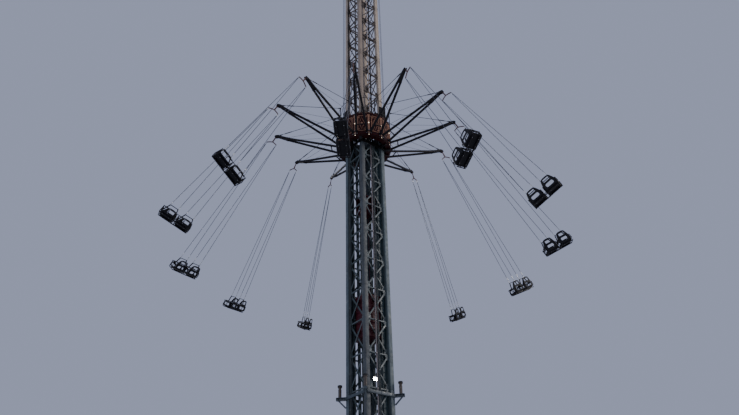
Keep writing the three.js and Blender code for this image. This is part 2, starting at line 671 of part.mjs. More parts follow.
// Extrudes an outline of width and height to a given depth about the hanging plane
function upright(outline, holes, from, to) {
  const shape = new THREE.Shape(outline.map(([x, z]) => new THREE.Vector2(x, z)));
  for (const hole of holes) {
    shape.holes.push(new THREE.Path(hole.map(([x, z]) => new THREE.Vector2(x, z))));
  }
  const geometry = new THREE.ExtrudeGeometry(shape, { depth: to - from, bevelEnabled: false });
  return geometry.rotateX(Math.PI / 2).translate(0, to, 0);
}

// The trapezoid of bars that a bucket hangs in, as an outline of width and height
function frameOutline(middle, footHeight) {
  const foot = BUCKET_WIDTH / 2 - 4;
  const head = FRAME_TOP_HALF + FRAME_TOP_BAR / 2;
  const insideFoot = foot - FRAME_SIDE_BAR;
  const insideHead = head - FRAME_SIDE_BAR;
  const insideTop = FRAME_TOP - FRAME_TOP_BAR;
  return [
    [middle - foot, footHeight], [middle - insideFoot, footHeight],
    [middle - insideHead, insideTop], [middle + insideHead, insideTop],
    [middle + insideFoot, footHeight], [middle + foot, footHeight],
    [middle + head, FRAME_TOP], [middle - head, FRAME_TOP],
  ];
}

// An opening through a seat's back, with its corners cut off, as an outline of width and height
function holeOutline(middle, hole) {
  const low = PAN_TOP + hole.low;
  const high = PAN_TOP + hole.high;
  const edge = hole.half - hole.corner;
  return [
    [middle - edge, low], [middle + edge, low],
    [middle + hole.half, low + hole.corner], [middle + hole.half, high - hole.corner],
    [middle + edge, high], [middle - edge, high],
    [middle - hole.half, high - hole.corner], [middle - hole.half, low + hole.corner],
  ];
}

// Two bucket seats side by side, joined at their pans, each in its hanging frame, with one lap bar
function seatGeometry() {
  const half = BUCKET_WIDTH / 2;
  const front = BUCKET_DEPTH / 2;
  const low = PAN_TOP - PAN - CROSS_TUBE;
  const armTop = PAN_TOP + SIDE_HEIGHT;
  const backTop = PAN_TOP + BACK_HEIGHT;
  const near = SEAT_HALF_PITCH - half;
  const far = SEAT_HALF_PITCH + half;
  const cups = [
    [-far, low], [far, low], [far, armTop], [far - SHELL, armTop], [far - SHELL, PAN_TOP],
    [near + SHELL, PAN_TOP], [near + SHELL, armTop], [near, armTop], [near, PAN_TOP],
    [-near, PAN_TOP], [-near, armTop], [-near - SHELL, armTop], [-near - SHELL, PAN_TOP],
    [-far + SHELL, PAN_TOP], [-far + SHELL, armTop], [-far, armTop],
  ];
  const pieces = [upright(cups, [], -front, front)];
  for (const sign of [-1, 1]) {
    const middle = sign * SEAT_HALF_PITCH;
    const edge = half - 4;
    const top = edge - BACK_TAPER;
    const back = [
      [middle - edge, PAN_TOP - PAN / 4], [middle + edge, PAN_TOP - PAN / 4], [middle + edge, armTop],
      [middle + top, backTop], [middle - top, backTop], [middle - edge, armTop],
    ];
    const holes = [holeOutline(middle, LOWER_HOLE), holeOutline(middle, UPPER_HOLE)];
    pieces.push(upright(back, holes, -front + 4, -front + SHELL));
    pieces.push(upright(frameOutline(middle, armTop - SHELL), [], -FRAME_DEPTH / 2, FRAME_DEPTH / 2));
  }
  const lapBarEnd = far + LAP_BAR_OVERHANG;
  const lapBarStart = at(-lapBarEnd, front - SHELL, armTop + 6);
  pieces.push(rod(lapBarStart, at(lapBarEnd, front - SHELL, armTop + 6), LAP_BAR, 4, at(0, 0, 1)));
  const sideHoles = block(
    [-far - SHELL, -front + SIDE_HOLE_EDGE, PAN_TOP + SIDE_HOLE_EDGE],
    [far + SHELL, front - SIDE_HOLE_EDGE, armTop - SIDE_HOLE_EDGE],
  );
  return toGeometry(join(pieces).subtract(toSolid(sideHoles)));
}

function addArmsAndSwings(rotor) {
  const arm = armGeometry();
  const suspension = suspensionGeometry();
  const seat = seatGeometry();
  for (let i = 0; i < ARM_COUNT; i += 1) {
    const number = String(i + 1).padStart(2, '0');
    const spoke = new THREE.Group();
    spoke.rotation.z = i * 360 / ARM_COUNT * DEGREE;
    rotor.add(spoke);
    add(`arm_${number}`, arm, armPaint, spoke);
    const swing = new THREE.Group();
    swing.position.set(ARM_REACH, 0, PIVOT_HEIGHT);
    swing.rotation.y = -FLIGHT_ANGLE * DEGREE;
    spoke.add(swing);
    add(`suspension_${number}`, suspension, ropeSteel, swing);
    add(`seat_${number}`, seat, seatShell, swing);
  }
}

const rotor = new THREE.Group();
rotor.rotation.z = FIRST_ARM_ANGLE * DEGREE;
ride.add(rotor);

addBase();
addTower();
addHoistRopes(addHead());
addCounterweight();
addBuffers();
addFloodlight();
addCarriage();
addDrum(rotor);
addStayRing(rotor);
addArmsAndSwings(rotor);

export default ride;
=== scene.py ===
# %% [markdown]
# # A tower chair swing ride, dressed for the camera
#
# The ride is a square lattice tower. A carriage climbs it, a drum turns on the carriage, and twelve arms on
# the drum carry double seats on ropes. The construction comes in as a fixed frame: every part is already at
# its real place and size. This script gives each part its visible surface, in metres, in the same frame.
#
# The lesson goes from the big to the small: camera and light first, then paints, then the tower, the
# carriage, the drum and arms, the swings, and last what stands at the foot and the head of the tower.

# %% Load the frame
import json
import math
from itertools import product

import bmesh
import bpy
from mathutils import Matrix, Vector


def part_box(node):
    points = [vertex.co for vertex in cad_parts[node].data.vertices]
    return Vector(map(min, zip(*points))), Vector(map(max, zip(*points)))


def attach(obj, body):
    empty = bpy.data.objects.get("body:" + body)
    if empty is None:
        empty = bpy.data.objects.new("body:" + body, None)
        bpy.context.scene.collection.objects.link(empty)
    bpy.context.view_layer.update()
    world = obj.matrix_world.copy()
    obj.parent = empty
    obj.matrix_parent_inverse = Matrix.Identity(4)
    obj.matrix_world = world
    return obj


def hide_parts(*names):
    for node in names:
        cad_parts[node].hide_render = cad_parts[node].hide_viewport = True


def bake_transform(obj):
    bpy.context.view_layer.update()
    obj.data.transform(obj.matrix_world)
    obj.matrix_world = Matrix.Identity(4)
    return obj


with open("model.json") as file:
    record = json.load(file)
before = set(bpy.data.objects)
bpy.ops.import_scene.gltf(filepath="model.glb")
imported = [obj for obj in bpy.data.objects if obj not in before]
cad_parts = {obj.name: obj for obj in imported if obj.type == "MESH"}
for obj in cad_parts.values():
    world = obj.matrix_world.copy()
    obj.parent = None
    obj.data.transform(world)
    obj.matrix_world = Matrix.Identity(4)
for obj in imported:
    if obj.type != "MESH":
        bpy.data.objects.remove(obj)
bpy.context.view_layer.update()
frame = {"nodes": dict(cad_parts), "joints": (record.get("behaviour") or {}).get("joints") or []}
nodes = frame["nodes"]
joints = {joint["name"]: joint for joint in frame["joints"]}
print("parts in the frame:", len(nodes), "joints:", len(joints))

# %% [markdown]
# ## Sizes read from the frame
#
# Sizes could be typed again here, but then they would drift from the construction. Instead the boxes of a
# few named parts give the tower's width, the drum's rim and the arms' pins, and everything else is worked
# out from them.

# %% Read the driving sizes
ARM_NUMBERS = sorted(name[4:] for name in nodes if name.startswith("arm_"))
TURN = math.tau / len(ARM_NUMBERS)
leg_low, leg_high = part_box("leg_front_left")
LEG_SIDE = leg_high.x - leg_low.x
LEG_CENTRE = -(leg_low.x + leg_high.x) / 2
TOWER_FOOT = leg_low.z
TOWER_TOP = leg_high.z
PANELS = 27
PANEL = (TOWER_TOP - TOWER_FOOT) / PANELS
drum_low, drum_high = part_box("drum")
DRUM_RADIUS = drum_high.x
PIVOT = Vector(joints["swing_out_01"]["pos_m"])
FIRST_ANGLE = math.atan2(PIVOT.y, PIVOT.x)
REACH = PIVOT.to_2d().length
FLIGHT = math.radians(27)
print("tower", round(2 * LEG_CENTRE, 3), "drum", round(DRUM_RADIUS, 3), "reach", round(REACH, 3))

# %% Short names for what is used all through
QUARTER = math.radians(90)
UP = Vector((0, 0, 1))
UPRIGHT = Matrix.Rotation(QUARTER, 4, "X")


def turned(angle):
    return Matrix.Rotation(angle, 4, "Z")


def moved(x, y, z):
    return Matrix.Translation((x, y, z))


def on_circle(x, y, radius, angle):
    return x + radius * math.cos(angle), y + radius * math.sin(angle)


def link(thing):
    bpy.context.scene.collection.objects.link(thing)
    return thing


SIDES = [turned(side * QUARTER) for side in range(4)]
print("sides of the tower:", len(SIDES))

# %% [markdown]
# ## Camera
#
# The photograph looks up at the ride from the ground, about 25 m away, and leans a little to the left. The
# camera could be posed by eye, but eleven arm tips and the tower's legs fix it well, so its place, its turn
# and its lens are stated as plain numbers.

# %% Place the camera
IMAGE_WIDTH = 739
FOCAL_PIXELS = 616
SENSOR_WIDTH = 36
CAMERA_PLACE = Vector((-14.723, -19.681, 1.644))
CAMERA_AZIMUTH = math.radians(37.189)
CAMERA_PITCH = math.radians(33.243)
CAMERA_ROLL = math.radians(1.518)


def camera_matrix(place, azimuth, pitch, roll):
    level = Vector((math.sin(azimuth), math.cos(azimuth), 0))
    forward = level * math.cos(pitch) + UP * math.sin(pitch)
    right = Vector((math.cos(azimuth), -math.sin(azimuth), 0))
    above = right.cross(forward)
    rolled_right = right * math.cos(roll) - above * math.sin(roll)
    rolled_above = right * math.sin(roll) + above * math.cos(roll)
    turn = Matrix((rolled_right, rolled_above, -forward)).transposed()
    return Matrix.Translation(place) @ turn.to_4x4()


camera_data = bpy.data.cameras.new("ground_camera")
camera_data.sensor_width = SENSOR_WIDTH
camera_data.lens = SENSOR_WIDTH * FOCAL_PIXELS / IMAGE_WIDTH
camera_data.clip_end = 500
camera = link(bpy.data.objects.new("ground_camera", camera_data))
camera.matrix_world = camera_matrix(CAMERA_PLACE, CAMERA_AZIMUTH, CAMERA_PITCH, CAMERA_ROLL)
bpy.context.scene.camera = camera
print("lens", round(camera_data.lens, 2), "mm")

# %% [markdown]
# ## Floor and light
#
# The ride stands on a plain pale floor in soft studio light. A sun alone would give hard black shadows on
# so thin a lattice, so wide area lamps do the work: a warm key from the right, a cool fill from the left,
# one from behind, a low one that lifts the undersides, and a pale world that fills the rest.

# %% Make the floor, the world and the lamps
FLOOR_RADIUS = 150


def make_floor():
    shape = bmesh.new()
    bmesh.ops.create_circle(shape, cap_ends=True, segments=96, radius=FLOOR_RADIUS)
    mesh = bpy.data.meshes.new("studio_floor")
    shape.to_mesh(mesh)
    shape.free()
    floor = link(bpy.data.objects.new("studio_floor", mesh))
    paint = bpy.data.materials.new("pale_floor")
    paint.use_nodes = True
    shader = paint.node_tree.nodes["Principled BSDF"]
    shader.inputs["Base Color"].default_value = (0.62, 0.63, 0.65, 1)
    shader.inputs["Roughness"].default_value = 0.9
    mesh.materials.append(paint)


def soft_lamp(name, place, target, size, power, colour):
    data = bpy.data.lights.new(name, "AREA")
    data.shape = "DISK"
    data.size = size
    data.energy = power
    data.color = colour
    lamp = link(bpy.data.objects.new(name, data))
    lamp.location = place
    lamp.rotation_euler = (Vector(target) - Vector(place)).to_track_quat("-Z", "Y").to_euler()


make_floor()
world = bpy.data.worlds.new("pale_studio")
world.use_nodes = True
background = world.node_tree.nodes["Background"]
background.inputs["Color"].default_value = (0.415, 0.46, 0.64, 1)
background.inputs["Strength"].default_value = 0.72
bpy.context.scene.world = world
MIDDLE = (0, 0, 20)
soft_lamp("key_right", (34, -30, 34), MIDDLE, 22, 12500, (1.0, 0.95, 0.88))
soft_lamp("fill_left", (-40, -6, 26), MIDDLE, 24, 3600, (0.86, 0.92, 1.0))
soft_lamp("back_rim", (6, 42, 40), MIDDLE, 20, 5000, (1.0, 0.97, 0.92))
soft_lamp("low_front", (-10, -34, 3), (0, 0, 18), 14, 600, (0.95, 0.96, 1.0))

# %% [markdown]
# ## Paints and other finishes
#
# A fairground ride is steel under many coats of paint, rope steel with grease on it, and moulded plastic.
# Each finish could be one flat colour, but from close by paint is never even: it fades in patches, dirt
# runs down it, and its gloss changes. So each material mixes two or three tones by noise on the object's
# own coordinates, drags a second noise out along Z for the rain streaks, and varies its roughness.

# %% Small helpers that wire a node tree
def set_inputs(tree, node, values):
    """Gives each named input of a node its link or its plain value."""
    for name, value in values.items():
        socket = node.inputs[name]
        if isinstance(value, bpy.types.NodeSocket):
            tree.links.new(value, socket)
        elif socket.type == "RGBA":
            socket.default_value = (*value, 1)
        else:
            socket.default_value = value


def add_node(tree, kind, values, **settings):
    """Adds a node with its settings and inputs, and returns its outputs."""
    node = tree.nodes.new(kind)
    for name, value in settings.items():
        setattr(node, name, value)
    set_inputs(tree, node, values)
    return node.outputs


def start_material(name):
    material = bpy.data.materials.new(name)
    material.use_nodes = True
    tree = material.node_tree
    place = add_node(tree, "ShaderNodeTexCoord", {})["Object"]
    return material, tree, tree.nodes["Principled BSDF"], place


def stretched(tree, place, scale):
    return add_node(tree, "ShaderNodeMapping", {"Vector": place, "Scale": scale})["Vector"]


def noise(tree, place, scale, detail=4.0, roughness=0.6):
    values = {"Vector": place, "Scale": scale, "Detail": detail, "Roughness": roughness}
    return add_node(tree, "ShaderNodeTexNoise", values)["Fac"]


def limits(tree, value, low, high, to_low=0.0, to_high=1.0):
    """Maps what lies between low and high to what lies between the two others."""
    values = {"Value": value, "From Min": low, "From Max": high, "To Min": to_low, "To Max": to_high}
    return add_node(tree, "ShaderNodeMapRange", values)["Result"]


def blend_colours(tree, factor, first, second):
    values = {"Factor": factor, "A": first, "B": second}
    return add_node(tree, "ShaderNodeMix", values, data_type="RGBA")["Result"]


def bump(tree, height, strength, distance):
    values = {"Height": height, "Strength": strength, "Distance": distance}
    return add_node(tree, "ShaderNodeBump", values)["Normal"]


def tinted(colour, amount):
    return tuple(min(1.0, channel * amount) for channel in colour)


# %% Paint on steel, with fading, rain streaks and chips
def steel_paint(name, colour, dirt=(0.10, 0.08, 0.06), gloss=0.42, streaks=0.5, shine=0.5):
    material, tree, shader, place = start_material(name)
    fading = limits(tree, noise(tree, place, 2.2), 0.35, 0.7)
    base = blend_colours(tree, fading, tinted(colour, 0.82), tinted(colour, 1.18))
    runs = noise(tree, stretched(tree, place, (9.0, 9.0, 0.6)), 2.0, 6.0)
    base = blend_colours(tree, limits(tree, runs, 0.52, 0.78, 0.0, streaks), base, dirt)
    chips = limits(tree, noise(tree, place, 38.0, 2.0), 0.70, 0.76, 0.0, 0.7)
    set_inputs(tree, shader, {
        "Base Color": blend_colours(tree, chips, base, tinted(dirt, 1.6)),
        "Roughness": limits(tree, noise(tree, place, 6.0), 0.3, 0.7, gloss - 0.1, gloss + 0.2),
        "Specular IOR Level": shine,
        "Normal": bump(tree, noise(tree, place, 90.0, 3.0), 0.12, 0.002),
    })
    return material


print("paint helper ready")

# %% [markdown]
# ### The tower's two tones
#
# Below the drum the steel is slate blue-grey, and above it cream. The two could be two materials on two
# halves of each leg, but the legs are single bars. One material that reads its own height gives a clean
# change, and it is set behind the drum's rim, where the photograph hides it. The four legs and the far
# bars get tones of their own, which are painted light and shade: lighter where light falls, darker in
# shade.

# %% Tower paints that change behind the drum
PAINT_CHANGE = drum_high.z - 0.05
CHANGE_HALF = 0.004
RAIN_DIRT = (0.16, 0.12, 0.09)


def two_tone_paint(name, below, above, streaks=0.45, gloss=0.45):
    material = steel_paint(name, below, streaks=streaks, gloss=gloss)
    tree = material.node_tree
    shader = tree.nodes["Principled BSDF"]
    old = shader.inputs["Base Color"].links[0].from_socket
    place = next(node for node in tree.nodes if node.type == "TEX_COORD").outputs["Object"]
    height = add_node(tree, "ShaderNodeSeparateXYZ", {"Vector": place})["Z"]
    step = limits(tree, height, PAINT_CHANGE - CHANGE_HALF, PAINT_CHANGE + CHANGE_HALF)
    upper_fade = limits(tree, noise(tree, place, 1.7), 0.35, 0.7)
    upper = blend_colours(tree, upper_fade, tinted(above, 0.86), tinted(above, 1.12))
    upper_runs = noise(tree, stretched(tree, place, (8.0, 8.0, 0.5)), 2.4, 6.0)
    upper = blend_colours(tree, limits(tree, upper_runs, 0.55, 0.8, 0.0, streaks), upper, RAIN_DIRT)
    set_inputs(tree, shader, {"Base Color": blend_colours(tree, step, old, upper)})
    return material


# All four legs share one two-tone paint. Each corner's copy is made lighter or darker as painted light and
# shade: the front-right leg is lightest and the front-left leg darkest.
LEG_LIGHT_AND_SHADE_TONES = {
    "front_left": ((0.038, 0.048, 0.058), (0.25, 0.195, 0.155)),
    "front_right": ((0.076, 0.104, 0.116), (0.46, 0.37, 0.285)),
    "back_right": ((0.046, 0.066, 0.082), (0.40, 0.32, 0.25)),
    "back_left": ((0.060, 0.084, 0.102), (0.35, 0.285, 0.235)),
}
leg_light_and_shade_paints = {
    corner: two_tone_paint("leg_paint_" + corner, below, above, gloss=0.55)
    for corner, (below, above) in LEG_LIGHT_AND_SHADE_TONES.items()
}
SLATE_LIGHT = (0.058, 0.080, 0.090)
# Above the drum, the brace paint's dark tone on the near sides is painted shade. The far sides take a copy
# that is lighter above the drum, as painted light.
brace_paint = two_tone_paint("brace_paint", SLATE_LIGHT, (0.075, 0.058, 0.050))
conduit_paint = two_tone_paint("conduit_paint", (0.135, 0.118, 0.128), (0.28, 0.22, 0.175))
far_brace_paint = two_tone_paint("far_brace_paint", SLATE_LIGHT, (0.22, 0.175, 0.14))
# Near-black paint of the far sides' sheets and of the left side's tray: painted shade inside the tower.
web_paint = steel_paint("web_paint", (0.008, 0.015, 0.018), (0.03, 0.025, 0.02), streaks=0.3)
rail_paint = two_tone_paint("rail_paint", (0.075, 0.088, 0.092), (0.030, 0.024, 0.024))
ladder_paint = steel_paint("ladder_teal", (0.018, 0.040, 0.046), (0.02, 0.02, 0.02), streaks=0.3)
base_paint = steel_paint("base_paint", (0.046, 0.064, 0.078), streaks=0.2)
head_paint = steel_paint("head_paint", (0.50, 0.44, 0.34), streaks=0.5)

# %% Paints of the parts that move, each as colour, dirt, roughness, streaks and shine
OTHER_PAINTS = {
    "dark_navy_paint": ((0.005, 0.004, 0.007), (0.022, 0.016, 0.012), 0.45, 0.25, 0.22),
    "carriage_paint": ((0.006, 0.005, 0.006), (0.022, 0.012, 0.010), 0.42, 0.3, 0.2),
    "maroon_paint": ((0.024, 0.0015, 0.0022), (0.011, 0.005, 0.0045), 0.4, 0.35, 0.12),
    "crimson_paint": ((0.050, 0.003, 0.010), (0.02, 0.012, 0.014), 0.45, 0.5, 0.25),
    "beige_ornament": ((0.37, 0.193, 0.126), (0.06, 0.022, 0.016), 0.45, 0.6, 0.15),
    "reddish_beige_paint": ((0.10, 0.052, 0.048), (0.03, 0.018, 0.016), 0.5, 0.5, 0.3),
    "buffer_brown": ((0.060, 0.044, 0.036), (0.03, 0.025, 0.02), 0.5, 0.5, 0.5),
}
other_paints = [steel_paint(name, *values) for name, values in OTHER_PAINTS.items()]
dark_paint, carriage_paint, maroon_paint, crimson_paint, beige_paint, rust_beige, brown_paint = other_paints
print("paints:", len(bpy.data.materials))

# %% [markdown]
# ### Bare steel, rope, rubber, moulded plastic and lit glass
#
# Zinc-coated bolts and greased pins are real metal, so their colour sits in the reflection. A wire rope is
# strands laid in a spiral: modelling each wire would cost millions of faces for something thinner than a
# pixel, so the lay is a wave on the rope's own UV map that drives bump and colour.

# %% Make them
def bare_steel(name, colour, rough):
    material, tree, shader, place = start_material(name)
    dull = limits(tree, noise(tree, place, 14.0), 0.3, 0.7)
    set_inputs(tree, shader, {
        "Base Color": blend_colours(tree, dull, tinted(colour, 0.6), colour),
        "Roughness": limits(tree, noise(tree, place, 30.0), 0.3, 0.7, rough, rough + 0.25),
        "Metallic": 0.9,
        "Normal": bump(tree, noise(tree, place, 160.0), 0.1, 0.001),
    })
    return material


def wire_rope(name, colour):
    material, tree, shader, place = start_material(name)
    uv = add_node(tree, "ShaderNodeTexCoord", {})["UV"]
    values = {"Vector": stretched(tree, uv, (1.0, 30.0, 1.0)), "Scale": 6.0, "Distortion": 0.4}
    lay = add_node(tree, "ShaderNodeTexWave", values, bands_direction="DIAGONAL")["Fac"]
    base = blend_colours(tree, lay, tinted(colour, 0.45), colour)
    grease = limits(tree, noise(tree, place, 5.0), 0.45, 0.75, 0.0, 0.6)
    set_inputs(tree, shader, {
        "Base Color": blend_colours(tree, grease, base, tinted(colour, 0.35)),
        "Roughness": limits(tree, lay, 0.0, 1.0, 0.55, 0.32),
        "Metallic": 0.65,
        "Normal": bump(tree, lay, 0.5, 0.002),
    })
    return material


def moulded_shell(name, colour, rough=0.34):
    material, tree, shader, place = start_material(name)
    cloud = limits(tree, noise(tree, place, 5.0), 0.35, 0.7)
    base = blend_colours(tree, cloud, tinted(colour, 0.7), tinted(colour, 1.4))
    scuffs = noise(tree, stretched(tree, place, (3.0, 3.0, 14.0)), 6.0, 8.0)
    worn = limits(tree, scuffs, 0.60, 0.72, 0.0, 0.35)
    set_inputs(tree, shader, {
        "Base Color": blend_colours(tree, worn, base, (0.16, 0.16, 0.18)),
        "Roughness": limits(tree, noise(tree, place, 9.0), 0.3, 0.7, rough - 0.08, rough + 0.2),
        "Specular IOR Level": 0.2,
        "Normal": bump(tree, noise(tree, place, 220.0, 2.0), 0.08, 0.0008),
    })
    return material


def lit_glass(name, colour, strength):
    material, tree, shader, place = start_material(name)
    cells = limits(tree, noise(tree, place, 60.0, 2.0), 0.3, 0.7)
    base = blend_colours(tree, cells, tinted(colour, 0.8), colour)
    light = {"Emission Color": base, "Emission Strength": strength}
    set_inputs(tree, shader, {"Base Color": base, "Roughness": 0.15, **light})
    return material


zinc = bare_steel("zinc_steel", (0.55, 0.56, 0.58), 0.32)
dull_zinc = bare_steel("dull_zinc_steel", (0.13, 0.145, 0.155), 0.55)
oiled_steel = bare_steel("oiled_steel", (0.055, 0.052, 0.056), 0.36)
swing_rope = wire_rope("swing_rope", (0.09, 0.10, 0.13))
hoist_rope = wire_rope("hoist_rope", (0.20, 0.20, 0.24))
rubber = moulded_shell("black_rubber", (0.020, 0.020, 0.022), 0.7)
seat_black = moulded_shell("seat_black", (0.004, 0.004, 0.007), 0.5)
seat_grey = moulded_shell("seat_trim_grey", (0.10, 0.10, 0.12), 0.45)
bulb_glass = lit_glass("bulb_glass", (1.0, 0.86, 0.66), 2.2)
lamp_glass = lit_glass("lamp_glass", (1.0, 0.93, 0.80), 45.0)
print("finishes:", len(bpy.data.materials))

# %% [markdown]
# ## Tools for closed shapes
#
# Every piece is built as closed solids inside one bmesh: tubes between two points, tubes along bent
# paths, boxes with a small rounded edge, and flat outlines given a thickness. Closed shapes export and
# print cleanly, and the rounded edges catch the light as real plate and tube do.

# %% Tubes, boxes and beams
def steer(start, end):
    return (Vector(end) - Vector(start)).to_track_quat("Z", "Y").to_matrix().to_4x4()


def tube(shape, start, end, radius, sides=12, end_radius=None):
    start, end = Vector(start), Vector(end)
    place = Matrix.Translation((start + end) / 2) @ steer(start, end)
    last = radius if end_radius is None else end_radius
    depth = (end - start).length
    bmesh.ops.create_cone(
        shape, cap_ends=True, segments=sides, radius1=radius, radius2=last, depth=depth, matrix=place
    )


def about(middle, half):
    return middle - half, middle + half


def within(low, high, gap):
    return low + gap, high - gap


def slab(shape, xs, ys, zs, edge=0.0, place=None):
    """A box between two limits on each axis, its edges rounded by `edge`."""
    low, high = Vector((xs[0], ys[0], zs[0])), Vector((xs[1], ys[1], zs[1]))
    size = high - low
    fit = Matrix.Translation((low + high) / 2) @ Matrix.Diagonal((*size, 1))
    made = bmesh.ops.create_cube(shape, size=1, matrix=(place or Matrix.Identity(4)) @ fit)
    if edge > 0:
        sides = list(dict.fromkeys(side for vert in made["verts"] for side in vert.link_edges))
        bmesh.ops.bevel(shape, geom=sides, offset=edge, segments=2, profile=0.6, affect="EDGES")


def beam(shape, start, end, width, depth, side=UP, edge=0.0):
    """A straight box beam: width along `side`, depth across it."""
    start, end = Vector(start), Vector(end)
    along = (end - start).normalized()
    across = along.cross(Vector(side)).normalized()
    wide = across.cross(along)
    turn = Matrix((wide, across, along)).transposed().to_4x4()
    place = Matrix.Translation((start + end) / 2) @ turn
    length = (end - start).length
    slab(shape, about(0, width / 2), about(0, depth / 2), about(0, length / 2), edge, place)


# %% Bent tubes, plates and turned rings
def bent_tube(shape, points, radius, sides=10, closed=False):
    """A round bar along a bent path, its rings mitred at each bend."""
    points = [Vector(point) for point in points]
    count = len(points)
    rings = []
    guide = None
    for index, point in enumerate(points):
        if closed:
            before, after = points[index - 1], points[(index + 1) % count]
        else:
            before, after = points[max(index - 1, 0)], points[min(index + 1, count - 1)]
        along = (after - before).normalized()
        if guide is None:
            guide = along.orthogonal().normalized()
        guide = (guide - along * guide.dot(along)).normalized()
        other = along.cross(guide)
        ring = []
        for step in range(sides):
            angle = math.tau * step / sides
            out = math.cos(angle) * guide + math.sin(angle) * other
            ring.append(shape.verts.new(point + radius * out))
        rings.append(ring)
    last = count if closed else count - 1
    for index in range(last):
        ring, following = rings[index], rings[(index + 1) % count]
        for step in range(sides):
            after = (step + 1) % sides
            shape.faces.new((ring[step], ring[after], following[after], following[step]))
    if not closed:
        shape.faces.new(list(reversed(rings[0])))
        shape.faces.new(rings[-1])


def plate(shape, outline, thickness, place, edge=0.0):
    """A flat outline in a plane's X and Y, given thickness about that plane."""
    bottom = [shape.verts.new(place @ Vector((x, y, -thickness / 2))) for x, y in outline]
    top = [shape.verts.new(place @ Vector((x, y, thickness / 2))) for x, y in outline]
    count = len(outline)
    faces = [shape.faces.new(list(reversed(bottom))), shape.faces.new(top)]
    for index in range(count):
        after = (index + 1) % count
        faces.append(shape.faces.new((bottom[index], bottom[after], top[after], top[index])))
    if edge > 0:
        sides = list(dict.fromkeys(side for face in faces for side in face.edges))
        bmesh.ops.bevel(shape, geom=sides, offset=edge, segments=1, affect="EDGES")


def lathe(shape, outline, sides, place=None):
    """A closed ring or disc turned about Z from a closed outline of radius and height."""
    place = place or Matrix.Identity(4)
    columns = []
    for step in range(sides):
        angle = math.tau * step / sides
        turn = place @ turned(angle)
        columns.append([shape.verts.new(turn @ Vector((radius, 0, height))) for radius, height in outline])
    count = len(outline)
    for step in range(sides):
        here, there = columns[step], columns[(step + 1) % sides]
        for index in range(count):
            after = (index + 1) % count
            shape.faces.new((here[index], there[index], there[after], here[after]))


# %% From a bmesh to an object on its body
def to_object(name, shape, material, smooth=35.0):
    """Closes the bmesh into an object whose faces point outwards and whose sharp edges stay sharp."""
    bmesh.ops.recalc_face_normals(shape, faces=shape.faces)
    mesh = bpy.data.meshes.new(name)
    shape.to_mesh(mesh)
    shape.free()
    for face in mesh.polygons:
        face.use_smooth = True
    mesh.set_sharp_from_angle(angle=math.radians(smooth))
    mesh.materials.append(material)
    return link(bpy.data.objects.new(name, mesh))


def builds(material, smooth=35.0):
    """Lets a function that fills a bmesh return a finished object that bears the function's name."""
    def wrap(fill):
        def build(*sizes):
            shape = bmesh.new()
            fill(shape, *sizes)
            return to_object(fill.__name__, shape, material, smooth)
        return build
    return wrap


def place_on(thing, body, slot, *replaced):
    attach(thing, body)
    if replaced:
        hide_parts(*replaced)


def copy_of(thing, name):
    """The thing itself if it has that name already, or else a copy with a mesh of its own."""
    if thing.name == name:
        return thing
    return link(bpy.data.objects.new(name, thing.data.copy()))


print("shape tools ready")

# %% [markdown]
# ## Geometry Nodes for what repeats
#
# The ride is full of rules: 27 equal panels up the tower, twelve of everything round the drum, bolts on
# every joint. Copies could be made by a loop, but three small node trees state the rules once. One repeats
# a unit up a line, one turns it about the tower's axis, and one sets it on every point of a cloud, turned
# as the point says. Each ends in Realize Instances and Set Material, so what leaves it is a plain mesh.

# %% Build the three trees
def empty_tree(name, sizes):
    """A tree that takes points, a unit, sizes of its own and a finish."""
    tree = bpy.data.node_groups.new(name, "GeometryNodeTree")
    tree.interface.new_socket("Geometry", in_out="INPUT", socket_type="NodeSocketGeometry")
    for size, kind in {"Unit": "Object", **sizes, "Finish": "Material"}.items():
        tree.interface.new_socket(size, in_out="INPUT", socket_type="NodeSocket" + kind)
    tree.interface.new_socket("Geometry", in_out="OUTPUT", socket_type="NodeSocketGeometry")
    entry = tree.nodes.new("NodeGroupInput").outputs
    unit = add_node(tree, "GeometryNodeObjectInfo", {"Object": entry["Unit"]})["Geometry"]
    return tree, entry, unit


def end_tree(tree, entry, values):
    """Sets the unit on the points, then makes the instances real and gives them their material."""
    spread = add_node(tree, "GeometryNodeInstanceOnPoints", values)["Instances"]
    whole = add_node(tree, "GeometryNodeRealizeInstances", {"Geometry": spread})["Geometry"]
    values = {"Geometry": whole, "Material": entry["Finish"]}
    finished = add_node(tree, "GeometryNodeSetMaterial", values)["Geometry"]
    tree.links.new(finished, tree.nodes.new("NodeGroupOutput").inputs[0])
    return tree


def line_tree():
    tree, entry, unit = empty_tree("repeat_in_a_line", {"Count": "Int", "Step": "Vector"})
    values = {"Count": entry["Count"], "Offset": entry["Step"]}
    line = add_node(tree, "GeometryNodeMeshLine", values)["Mesh"]
    return end_tree(tree, entry, {"Points": line, "Instance": unit})


def ring_tree():
    tree, entry, unit = empty_tree("repeat_round_the_axis", {"Count": "Int", "Turn": "Float"})
    values = {"Count": entry["Count"], "Offset": (0, 0, 0)}
    line = add_node(tree, "GeometryNodeMeshLine", values)["Mesh"]
    index = add_node(tree, "GeometryNodeInputIndex", {})["Index"]
    angle = add_node(tree, "ShaderNodeMath", {0: index, 1: entry["Turn"]}, operation="MULTIPLY")["Value"]
    euler = add_node(tree, "ShaderNodeCombineXYZ", {"Z": angle})["Vector"]
    turn = add_node(tree, "FunctionNodeEulerToRotation", {"Euler": euler})["Rotation"]
    return end_tree(tree, entry, {"Points": line, "Instance": unit, "Rotation": turn})


